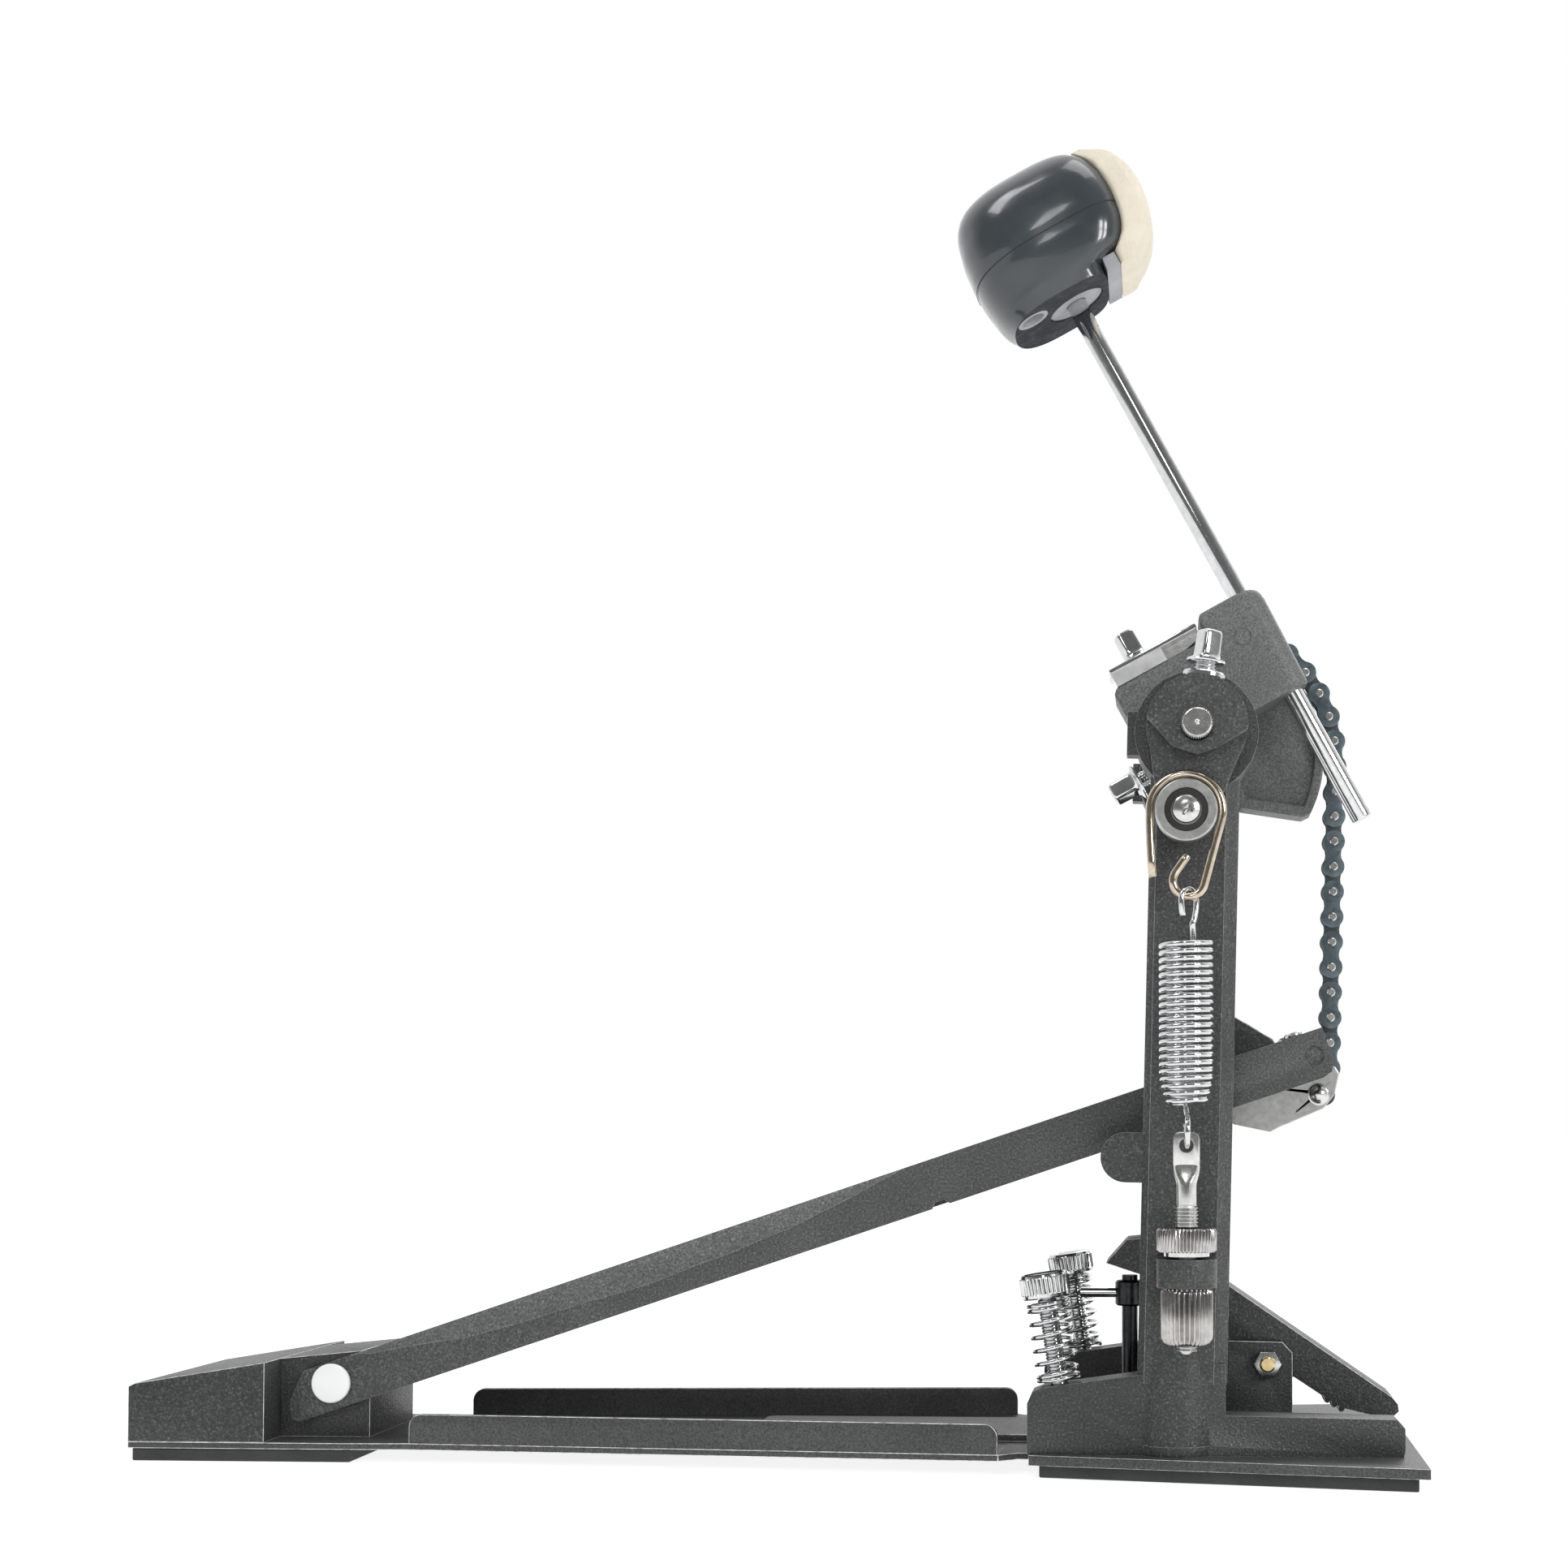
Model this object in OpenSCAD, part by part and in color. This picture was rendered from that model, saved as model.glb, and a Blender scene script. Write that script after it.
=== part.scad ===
// Bass drum pedal: chain drive, single beater, base plate with hoop clamp.
// Millimetres. X runs towards the drum, Y across the pedal, Z up.
// The origin lies on the floor under the axle, in the pedal's middle plane.

/* [Main layout] */
// Height of the beater axle above the floor
axle_z = 220.5; // [215:0.5:225]
// Half the distance between the middle planes of the two pedestals
post_y = 50; // [48:1:54]
// How far the pedestals lean towards the drum, in degrees
post_lean = 1.4; // [0:0.2:2]
// Distance of the heel hinge pin behind the axle
heel_x = 270; // [260:5:280]
// Height of the heel hinge pin
heel_z = 23.4; // [22:0.2:26]

/* [Footboard] */
// Length of the footboard from the hinge pin to the toe
board_len = 327; // [320:1:330]
// Rise of the footboard at rest, in degrees
board_slope = 18.6; // [18:0.2:19]
// Half the width of the footboard
board_half_w = 38; // [34:1:40]
// Wall thickness of the footboard
board_wall = 3; // [2:0.5:4]

/* [Beater] */
// Tilt of the beater shaft back from upright, in degrees
beater_tilt = 28.5; // [20:0.5:35]
// Distance from the axle to the beater shaft's middle line
shaft_offset = 35.5; // [33:0.5:36]
// Diameter of the beater shaft
shaft_d = 6.4; // [6:0.1:8]
// Position of the beater shaft across the pedal
shaft_y = -18; // [-24:1:-14]
// Half the width of the beater head
head_half_w = 25; // [20:1:30]

/* [Chain and cam] */
// Radius of the chain's pins round the axle
chain_r = 44.6; // [44:0.2:46]
// Distance between the chain's pins
chain_pitch = 8; // [8:0.5:8]
// Number of links that hang straight below the cam
run_links = 12; // [12:1:12]
// Angle of the lowest wrapped pin above the axle's level, in degrees
wrap_start = 7; // [6:0.5:8]

/* [Base] */
// Thickness of the rubber pads
pad_t = 4; // [3:0.5:5]
// Thickness of the sheet steel plates
sheet_t = 2; // [1.5:0.5:3]
// Half the width of the front plate at its wide end
front_half_w = 79; // [74:1:84]

/* [Return spring] */
// Position of the spring along X
spring_x = -3.4; // [-5:0.2:-2]
// Position of the spring across the pedal
spring_y = -73.5; // [-75:0.5:-72]
// Outer diameter of the spring
spring_d = 15.9; // [14:0.1:16]
// Diameter of the spring wire
spring_wire = 1.7; // [1.5:0.1:2]

/* [Hidden] */
$fn = 48;

// Colours
powder_black = "#2b2c2d";
cast_black = "#3a3b3c";
rubber_black = "#3c3e3e";
chrome = "#d5d8da";
steel = "#a9aba8";
nickel = "#b7a78f";
chain_blue = "#3c4c54";
felt_cream = "#f1e6cf";

// Screws up through the sheets
screw_r = 1.9;
screw_hole_r = 2.1;
screw_pocket_r = 4;
heel_screw_at = [[-322, -26], [-322, 26], [-300, -26], [-300, 26]];
near_foot_screw_x = 40;
far_foot_screw_x = 24;
post_screw_at = [
  [-20, -post_y], [near_foot_screw_x, -post_y], [-20, post_y], [far_foot_screw_x, post_y]
];
heel_pin_r = 3;

// Heights of the stacked sheets
sheet_z = pad_t;
deck_z = sheet_z + sheet_t;
front_deck_z = deck_z + 1;

// Clearances
run_gap = 0.06;
part_gap = 0.4;

// Pedestals
post_w = 26.5;
post_t = 13;
post_face = post_y + post_t / 2;
housing_r = 18.3;
housing_y0 = 42.5;
housing_y1 = 60;
axle_r = 4.9;
bearing_r = 11;
bearing_t = 8;

// Rocker arm, roller and hook
hub_r = 14.7;
hub_y0 = -75;
hub_y1 = -60.6;
arm_y0 = -69.5;
roller_x = -3.2;
roller_z = axle_z - 25;
roller_r = 9.1;
roller_t = 6;
hook_wire = 2.4;
hook_r = roller_r + 0.3 + hook_wire / 2;

// Spring and tension rod
coil_top = 158.4;
coil_bottom = 109.6;
hook_bottom_z = 170.5;
rod_eye_z = 98.5;
rod_r = 3;
lug_z0 = 57.8;
lug_z1 = 65.9;
lug_r = 8.7;

// Footboard
board_ear_y = 27;
board_low = -8.2;
board_high = 6.4;
channel_top = 3.4;

// Beater, in its own frame
head_cut_z = 142.5;
shaft_z0 = -43.7;

// Chain
wrap_step = 2 * asin(chain_pitch / 2 / chain_r);
wrapped_pins = 7;
plate_r = 3.5;
waist = 5;
roller_link_r = 2.5;
pin_r = 1.15;
inner_y = [1.7, 2.5];
outer_y = [2.8, 3.6];
pin_y = 4.6;
cam_r = chain_r - plate_r - 0.4;

function wrap_pin(k) = [
  chain_r * cos(wrap_start + k * wrap_step),
  axle_z + chain_r * sin(wrap_start + k * wrap_step)
];
run_drop = sqrt(pow(chain_pitch, 2) - pow(chain_r - wrap_pin(0)[0], 2));
run_top = [chain_r, wrap_pin(0)[1] - run_drop];
toe_pin_at = [38.2, 113.6];
run_tilt = 1.4;
function run_pin(k) = run_top + k * chain_pitch * [-sin(run_tilt), -cos(run_tilt)];

// Hoop clamp
jaw_pivot = [21.8, 30.2];
jaw_half_w = 12.5;
ear_t = 3;
clamp_screw_x = -21;
clamp_screw_r = 2.5;

// Key bolts and the screws of the beater holder, in the beater's frame
bolt_r = 2.5;
bolt_hole_r = bolt_r + run_gap;
block_top = 28.2;
plate_lift = 4.5;
plate_t = 1.5;
clamp_bolt_x = -1.9;
hub_screw_z = 0.5;
shaft_screw_z = 30.4;

// Sockets in the underside of the beater head
insert_r = 9.2;
socket_r = 5.2;
socket_at = [-15.2, -8.5];

// Toe of the footboard
toe_pin_r = 1.6;
toe_screw_u = 318.8;
toe_screw_y = 20;
chain_slot_half = 8;
cheek_notch = 28.8;

// Spur bolts
spur_y = post_y;
spur_lean = 8.4;
spur_r = 3;
spur_foot_near = [-41.2, 27.5];
spur_foot_far = [-37.6, 28];

// ---- General helpers ----

// A flat outline in the X-Z plane made solid from y0 to y1
module slab(y0, y1) {
  translate([0, y1, 0]) rotate([90, 0, 0]) linear_extrude(y1 - y0) children();
}

// A rod along Y
module rod_y(x, z, y0, y1, r) {
  translate([x, y0, z]) rotate([-90, 0, 0]) cylinder(h = y1 - y0, r = r);
}

// A flat bar with round ends from a to b
module bar(a, b, r) {
  d = b - a;
  translate(a) circle(r);
  translate(b) circle(r);
  translate(a) rotate(atan2(d[1], d[0])) translate([0, -r]) square([norm(d), 2 * r]);
}

// A box with rounded upright edges
module round_box(x0, x1, y0, y1, z0, z1, r) {
  translate([0, 0, z0]) linear_extrude(z1 - z0) {
    translate([x0 + r, y0]) square([x1 - x0 - 2 * r, y1 - y0]);
    translate([x0, y0 + r]) square([x1 - x0, y1 - y0 - 2 * r]);
    for (x = [x0 + r, x1 - r], y = [y0 + r, y1 - r]) translate([x, y]) circle(r);
  }
}

// A square-headed key bolt along +Z, its flange's underside at z = 0
module key_bolt(stem, stem_r) {
  head = 6;
  flange_r = 5.6;
  translate([0, 0, -stem]) cylinder(h = stem, r = stem_r);
  cylinder(h = 1.6, r = flange_r);
  translate([-head / 2, -head / 2, 0]) cube([head, head, 10]);
}

// Moves its children into the frame of the pedestals, which lean about the axle
module lean() {
  translate([0, 0, axle_z]) rotate([0, post_lean, 0]) translate([0, 0, -axle_z]) children();
}

// The beater's own frame: z runs along the shaft, x away from the player, the axle at the origin
module beater_frame() {
  translate([0, 0, axle_z]) rotate([0, -beater_tilt, 0]) children();
}

// The footboard's own frame: x runs from the hinge pin to the toe
module board_frame() {
  translate([-heel_x, 0, heel_z]) rotate([0, -board_slope, 0]) children();
}

// The frame of one spur bolt, z along the bolt, the top of the casting at z = 0
module spur_frame(side) {
  spur_axis(side, side * spur_y) children();
}

module spur_axis(side, y) {
  foot = side < 0 ? spur_foot_near : spur_foot_far;
  translate([foot[0], y, foot[1]]) rotate([0, -spur_lean, 0]) children();
}

// ---- Base ----

flange_x0 = -243;
flange_x1 = -59.5;
flange_w0 = 36;
flange_w1 = 50;
flange_top = 15;
flange_angle = atan2(flange_w1 - flange_w0, flange_x1 - flange_x0);

module base_outline() {
  polygon([
    [-331, -37], [-262, -37], [flange_x0, -flange_w0], [flange_x1, -flange_w1],
    [-54, -45], [-30, -45], [-30, 45], [-54, 45],
    [flange_x1, flange_w1], [flange_x0, flange_w0], [-262, 37], [-331, 37]
  ]);
}

// The near upturned flange, rooted inside the plate's thickness
module flange() {
  inset = 0.25;
  run = norm([flange_x1 - flange_x0, flange_w1 - flange_w0]) - 2 * inset;
  corner = 4;
  root_z = sheet_z + sheet_t / 2;
  translate([flange_x0, -flange_w0, 0]) rotate([0, 0, -flange_angle])
    translate([inset, inset, 0]) slab(0, sheet_t) {
      translate([0, root_z]) square([run, flange_top - corner - root_z]);
      translate([corner, root_z]) square([run - 2 * corner, flange_top - root_z]);
      for (x = [corner, run - corner]) translate([x, flange_top - corner]) circle(corner);
    }
}

module base_plate() {
  color(powder_black) {
    difference() {
      translate([0, 0, sheet_z]) linear_extrude(sheet_t) base_outline();
      for (at = heel_screw_at) translate([at[0], at[1], 0]) cylinder(h = 20, r = screw_hole_r);
    }
    flange();
    mirror([0, 1, 0]) flange();
  }
}

module tongue_plate() {
  color(powder_black) round_box(-140, -31, -21, 21, deck_z, deck_z + 2.4, 3);
}

module front_outline(inset) {
  polygon([
    [-50 + inset, -57.5 + inset], [65.5 - inset, -front_half_w + inset],
    [65.5 - inset, front_half_w - inset], [-50 + inset, 57.5 - inset]
  ]);
}

module front_plate() {
  color(powder_black) difference() {
    translate([0, 0, sheet_z]) linear_extrude(front_deck_z - sheet_z) front_outline(0);
    translate([-60, -45.4, sheet_z - 1]) cube([30.4, 90.8, 10]);
    for (at = post_screw_at) translate([at[0], at[1], 0]) cylinder(h = 20, r = screw_hole_r);
    for (side = [-1, 1]) spur_hole(side, 4);
  }
}

module heel_pad() {
  color(rubber_black) difference() {
    linear_extrude(pad_t) polygon([[-330, -36], [-261, -36], [-261, 36], [-330, 36]]);
    for (at = heel_screw_at) translate([at[0], at[1], -1]) cylinder(h = 20, r = screw_pocket_r);
  }
}

module front_pad() {
  color(rubber_black) difference() {
    linear_extrude(pad_t) front_outline(3);
    for (at = post_screw_at) translate([at[0], at[1], -1]) cylinder(h = 20, r = screw_pocket_r);
    for (side = [-1, 1]) spur_hole(side, 4);
  }
}

module heel_block() {
  lug_w = 22;
  color(powder_black) difference() {
    union() {
      slab(-37, 37) polygon([[-331, deck_z], [-288, deck_z], [-288, 30.6], [-329, 24], [-331, 23]]);
      slab(-lug_w, lug_w) polygon([
        [-289, deck_z], [-259.5, deck_z], [-259.5, 30], [-262.5, 33], [-289, 30.4]
      ]);
    }
    rod_y(-heel_x, heel_z, -60, 60, heel_pin_r + run_gap);
    for (at = heel_screw_at) translate([at[0], at[1], 0]) cylinder(h = 16, r = screw_r + run_gap);
  }
}

// A countersunk screw under the sheet, pointing up
module base_screw(stem) {
  translate([0, 0, sheet_z - 1.2]) cylinder(h = 1.2, r = 3.4);
  translate([0, 0, sheet_z - 0.2]) cylinder(h = stem, r = screw_r);
}

module heel_screws() {
  color(steel) for (at = heel_screw_at) translate([at[0], at[1], 0]) base_screw(10);
}

module hinge_pin() {
  cap_r = 6.1;
  ear_out = board_ear_y + part_gap;
  color("#eceeee") {
    rod_y(-heel_x, heel_z, -ear_out - 1, ear_out + 1, heel_pin_r);
    rod_y(-heel_x, heel_z, -ear_out - 1.6, -ear_out, cap_r);
    rod_y(-heel_x, heel_z, ear_out, ear_out + 1.6, cap_r);
  }
}

// ---- Pedestals ----

// Plan of a pedestal's column, outer side at -Y
module post_plan() {
  cut = 4;
  polygon([
    [-post_w / 2, post_t / 2], [post_w / 2, post_t / 2],
    [post_w / 2, -post_t / 2 + cut], [post_w / 2 - cut, -post_t / 2],
    [-post_w / 2 + cut / 2, -post_t / 2], [-post_w / 2, -post_t / 2 + cut / 2]
  ]);
}

// One pedestal at the near side: column, feet and bearing housing; side picks its spur bolt
module pedestal(side) {
  tab_z = 94.2;
  foot_y0 = -56;
  foot_y1 = -44;
  difference() {
    union() {
      lean() {
        translate([0, -post_y, 28]) linear_extrude(axle_z - 28) post_plan();
        slab(-post_face + 1.5, -post_face + 9) {
          translate([-post_w / 2 - 5, tab_z]) circle(7.4);
          translate([-post_w / 2 - 5, tab_z - 7.4]) square([8, 14.8]);
        }
        slab(-housing_y1 + 2, -housing_y1 + 9) {
          translate([-20.5, axle_z - 7]) square([12, 13]);
        }
      }
      rod_y(0, axle_z, -housing_y1, -housing_y0, housing_r);
      swell();
      slab(foot_y0, foot_y1) polygon([
        [-50.5, front_deck_z], [8, front_deck_z], [8, 34], [-18, 30.5],
        [-46, 26.6], [-49, 25.4], [-50.5, 22]
      ]);
      // The far foot is short: light shows past it under the jaw lever
      slab(foot_y0, foot_y1) polygon(side < 0
        ? [[0, front_deck_z], [60, front_deck_z], [60.5, 9], [60.5, 15.4], [58, 18], [0, 19]]
        : [[0, front_deck_z], [30.5, front_deck_z], [31, 8], [31, 16.4], [29, 18.4], [0, 19]]);
    }
    rod_y(0, axle_z, -60 - housing_y1, 0, axle_r + 1.6);
    rod_y(0, axle_z, -housing_y0 - bearing_t, 0, bearing_r);
    for (x = [-20, side < 0 ? near_foot_screw_x : far_foot_screw_x]) translate([x, -post_y, 0])
      cylinder(h = 16.6, r = screw_r + run_gap);
    spur_axis(side, -spur_y) translate([0, 0, -40]) cylinder(h = 60, r = spur_r + run_gap);
  }
}

// The rounded swelling of a column's outer face, which dies out upwards
module swell() {
  swell_r = 13;
  intersection() {
    translate([-6.5, -post_face - 4.2 + swell_r, front_deck_z]) {
      cylinder(h = 3, r = swell_r);
      translate([0, 0, 1.5]) rotate([-5, 0, 0]) cylinder(h = 60, r = swell_r);
    }
    translate([-30, -post_face - 10, 0]) cube([60, 11.5, 90]);
  }
}

module spur_hole(side, r) {
  spur_frame(side) translate([0, 0, -40]) cylinder(h = 60, r = r);
}

module near_pedestal() {
  color(powder_black) difference() {
    union() {
      pedestal(-1);
      // Lug that carries the tension rod
      translate([0, 0, lug_z0]) linear_extrude(lug_z1 - lug_z0) {
        translate([spring_x, spring_y]) circle(lug_r);
        translate([spring_x - lug_r, spring_y]) square([2 * lug_r, -post_face - spring_y + 1]);
      }
    }
    translate([spring_x, spring_y, 0]) cylinder(h = 90, r = rod_r + run_gap);
  }
}

module far_pedestal() {
  color(powder_black) mirror([0, 1, 0]) pedestal(1);
}

module pedestal_screws() {
  color(steel) for (at = post_screw_at) translate([at[0], at[1], 0]) base_screw(12);
}

module bearing(side) {
  mirror([0, side > 0 ? 1 : 0, 0]) difference() {
    rod_y(0, axle_z, -housing_y0 - bearing_t, -housing_y0, bearing_r);
    rod_y(0, axle_z, -100, 0, axle_r + run_gap);
  }
}

module near_bearing() {
  color(steel) bearing(-1);
}

module far_bearing() {
  color(steel) bearing(1);
}

// ---- Tension rod and spur bolts ----

module nut_ring(z0, z1, r) {
  translate([spring_x, spring_y, z0]) cylinder(h = z1 - z0, r = r);
}

module tension_rod() {
  spade_w = 7.8;
  spade_t = 3;
  color(steel) difference() {
    union() {
      nut_ring(38.7, 87, rod_r);
      translate([spring_x - spade_w / 2, spring_y - spade_t / 2, 86]) cube([spade_w, spade_t, 16.4]);
    }
    rod_y(spring_x, rod_eye_z, -100, 0, 2.2);
  }
}

module knurled_nut() {
  color(chrome) difference() {
    union() {
      nut_ring(67.8, 74.8, 8.65);
      nut_ring(66.4, 68, 6.6);
    }
    nut_ring(60, 80, rod_r + run_gap);
  }
}

module barrel_nut() {
  color(chrome) difference() {
    nut_ring(41, 57.4, 7.55);
    nut_ring(30, 60, rod_r + run_gap);
  }
}

module spur_spring(side) {
  turns = 6;
  r = 6;
  wire = 0.65;
  color(chrome) spur_frame(side) translate([0, 0, 0.8]) {
    for (k = [0 : turns]) translate([0, 0, k * 23.6 / turns])
      rotate_extrude() translate([r, 0]) circle(wire, $fn = 16);
    translate([r, 0, 0]) cylinder(h = 23.6, r = 0.4, $fn = 16);
  }
}

module spur_spring_near() {
  spur_spring(-1);
}

module spur_spring_far() {
  spur_spring(1);
}

module spur_bolt(side) {
  color(chrome) spur_frame(side) {
    translate([0, 0, -15]) cylinder(h = 42, r = spur_r);
    translate([0, 0, -18]) cylinder(h = 3, r1 = 1, r2 = spur_r);
    translate([0, 0, 25.7]) cylinder(h = 7.3, r = 7.5);
  }
}

module spur_bolt_near() {
  spur_bolt(-1);
}

module spur_bolt_far() {
  spur_bolt(1);
}

// ---- Hoop clamp ----

module clamp_bridge() {
  color(cast_black) difference() {
    translate([-29.5, -43, front_deck_z]) cube([17.5, 86, 13]);
    translate([clamp_screw_x, 0, 0]) cylinder(h = 60, r = clamp_screw_r + run_gap);
  }
}

module clamp_bracket() {
  ear = [[-8, front_deck_z], [29.6, front_deck_z], [29.6, 33.5], [26.5, 36.8], [-8, 37.5]];
  color(powder_black) difference() {
    union() {
      for (y = [-jaw_half_w - ear_t - 0.5, jaw_half_w + 0.5]) slab(y, y + ear_t) polygon(ear);
      translate([-8, -jaw_half_w - ear_t - 0.5, front_deck_z])
        cube([30, 2 * (jaw_half_w + ear_t + 0.5), 2]);
    }
    rod_y(jaw_pivot[0], jaw_pivot[1], -30, 30, 2.5 + run_gap);
  }
}

module jaw_bolt() {
  out = jaw_half_w + ear_t + 0.6;
  color(steel) {
    rod_y(jaw_pivot[0], jaw_pivot[1], -out - 4.5, out, 2.5);
    translate([jaw_pivot[0], -out - 3.2, jaw_pivot[1]]) rotate([-90, 0, 0])
      cylinder(h = 3.2, r = 4.4, $fn = 6);
    translate([jaw_pivot[0], out, jaw_pivot[1]]) rotate([-90, 0, 0])
      cylinder(h = 3.2, r = 4.4, $fn = 6);
  }
}

module jaw_lever() {
  bump_r = 1.1;
  color(powder_black) difference() {
    slab(-jaw_half_w, jaw_half_w) {
      polygon([
        [62.7, 15.2], [62.4, 17.4], [60.6, 19.6], [9.2, 54.6], [-10, 66], [-17, 68.6],
        [-21.8, 68.1], [-28.3, 60.8], [-17.9, 57.4], [-5, 55.6], [6, 44], [13, 33], [15, 27],
        [21, 22.6], [30.1, 25.7], [44.6, 16.2], [56, 13.6], [60.6, 13.4]
      ]);
      for (k = [0 : 2]) translate([40.5 + 2.2 * k, 18.8 - 1.4 * k]) circle(bump_r);
    }
    rod_y(jaw_pivot[0], jaw_pivot[1], -30, 30, 2.5 + run_gap);
  }
}

module hoop_pad() {
  color(rubber_black) round_box(33, 61, -14, 14, front_deck_z, front_deck_z + 1.6, 2);
}

module clamp_screw() {
  color(steel) translate([clamp_screw_x, 0, 11.4]) cylinder(h = 45, r = clamp_screw_r);
}

module clamp_tee() {
  bar_z = 50.7;
  color(chrome) difference() {
    union() {
      translate([clamp_screw_x, 0, bar_z - 4]) cylinder(h = 8, r = 4.6);
      translate([-37, 0, bar_z]) rotate([0, 90, 0]) cylinder(h = 29, r = 1.5);
    }
    translate([clamp_screw_x, 0, 0]) cylinder(h = 80, r = clamp_screw_r + run_gap);
  }
}

// ---- Rocker ----

module axle() {
  color(steel) {
    rod_y(0, axle_z, -79, 61, axle_r);
  }
}

module axle_collar() {
  color(chrome) difference() {
    rod_y(0, axle_z, 60.6, 68, 9);
    rod_y(0, axle_z, 50, 61.1, axle_r + run_gap);
  }
}

module rocker_arm() {
  tip_r = 8;
  color(powder_black) difference() {
    union() {
      slab(arm_y0, hub_y1) {
        translate([0, axle_z]) circle(hub_r);
        translate([roller_x, roller_z]) circle(tip_r);
        polygon([
          [-14.6, axle_z + 1], [roller_x - tip_r, roller_z], [roller_x + tip_r, roller_z - 1],
          [14.3, axle_z - 3.5]
        ]);
      }
      slab(hub_y0, arm_y0 + 1) intersection() {
        translate([0, axle_z]) circle(hub_r);
        polygon([
          [-20, axle_z + 10], [-15, axle_z + 3], [-7.3, axle_z - 6.3], [0, axle_z - 8.8],
          [6.1, axle_z - 6.8], [15.5, axle_z - 0.8], [20, axle_z + 20], [-20, axle_z + 20]
        ]);
      }
    }
    rod_y(0, axle_z, -100, 0, axle_r + run_gap);
    rod_y(roller_x, roller_z, -100, 0, 2.5 + run_gap);
    arm_screw_frame() translate([0, 0, -14.5]) cylinder(h = 24.5, r = 2.5 + run_gap);
  }
}

// The square screw in the top of the rocker arm's hub leans towards the drum
module arm_screw_frame() {
  hub_mid_y = -68;
  translate([0, hub_mid_y, axle_z]) rotate([0, 8, 0]) translate([0, 0, 19]) children();
}

module arm_set_screw() {
  color(chrome) arm_screw_frame() key_bolt(13.5, 2.5);
}

module roller_screw() {
  head_y = spring_y - roller_t / 2 - 0.6;
  color(chrome) {
    rod_y(roller_x, roller_z, head_y, hub_y1 - 0.4, 2.5);
    rod_y(roller_x, roller_z, head_y - 2.2, head_y, 4.2);
  }
}

module roller() {
  color(steel) difference() {
    rod_y(roller_x, roller_z, spring_y - roller_t / 2, spring_y + roller_t / 2, roller_r);
    rod_y(roller_x, roller_z, -100, 0, 2.5 + run_gap);
  }
}

// ---- Wire parts: points are [x, z] in the plane y = spring_y ----

module arc_wire(c, r, a0, a1, wire_r) {
  translate([c[0], spring_y, c[1]]) rotate([90, 0, 0]) rotate([0, 0, a0])
    rotate_extrude(angle = a1 - a0) translate([r, 0]) circle(wire_r, $fn = 24);
}

module straight_wire(a, b, wire_r) {
  d = b - a;
  translate([a[0], spring_y, a[1]]) rotate([0, atan2(d[0], d[1]), 0])
    cylinder(h = norm(d), r = wire_r, $fn = 24);
}

module wire_hook() {
  lean_a = -15;
  turn_r = 4.6;
  leg = 19.6;
  centre = [roller_x, roller_z];
  slope = [sin(lean_a), -cos(lean_a)];
  leg_top = centre + hook_r * [cos(lean_a), sin(lean_a)];
  leg_end = leg_top + leg * slope;
  turn_c = leg_end - turn_r * [cos(lean_a), sin(lean_a)];
  end_a = -215;
  tip = turn_c + turn_r * [cos(end_a), sin(end_a)];
  color(nickel) {
    arc_wire(centre, hook_r, lean_a, 180, hook_wire / 2);
    straight_wire(centre + [-hook_r, -19.5], centre + [-hook_r, 0], hook_wire / 2);
    straight_wire(leg_end, leg_top, hook_wire / 2);
    arc_wire(turn_c, turn_r, end_a, lean_a, hook_wire / 2);
    straight_wire(tip, tip + 6 * [sin(end_a), -cos(end_a)], hook_wire / 2);
    for (p = [leg_top, leg_end, tip, centre + [-hook_r, 0]])
      translate([p[0], spring_y, p[1]]) sphere(r = hook_wire / 2 + 0.06);
  }
}

module extension_spring() {
  r = (spring_d - spring_wire) / 2;
  wire_r = spring_wire / 2;
  loop_x = -2.5;
  loop_r = 3.4;
  loop_top = 172.75;
  eye_r = 4.6;
  color(chrome) {
    translate([spring_x, spring_y, coil_bottom]) difference() {
      cylinder(h = coil_top - coil_bottom, r = spring_d / 2);
      translate([0, 0, spring_wire]) cylinder(h = 100, r = spring_d / 2 - spring_wire);
    }
    // Top loop, turned half across the hook
    translate([loop_x, spring_y, loop_top - loop_r]) rotate([0, 0, 50]) rotate([90, 0, 0]) {
      rotate_extrude(angle = 180) translate([loop_r, 0]) circle(wire_r, $fn = 24);
      for (x = [-loop_r, loop_r]) translate([x, 0, 0]) rotate([90, 0, 0])
        cylinder(h = loop_top - loop_r - coil_top + 2, r = wire_r, $fn = 24);
    }
    translate([spring_x, spring_y, coil_top - spring_wire])
      rotate([0, 0, 50]) translate([-r, -wire_r, 0]) cube([2 * r, spring_wire, spring_wire]);
    // Bottom loop, through the rod's eye
    translate([spring_x, spring_y, rod_eye_z - 0.7 + eye_r]) rotate([0, 90, 0])
      rotate_extrude() translate([eye_r, 0]) circle(wire_r, $fn = 24);
    translate([spring_x, spring_y, rod_eye_z - 0.7 + 2 * eye_r])
      cylinder(h = coil_bottom - rod_eye_z - 2 * eye_r + 1.5, r = wire_r, $fn = 24);
  }
}

// ---- Beater holder ----

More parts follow.
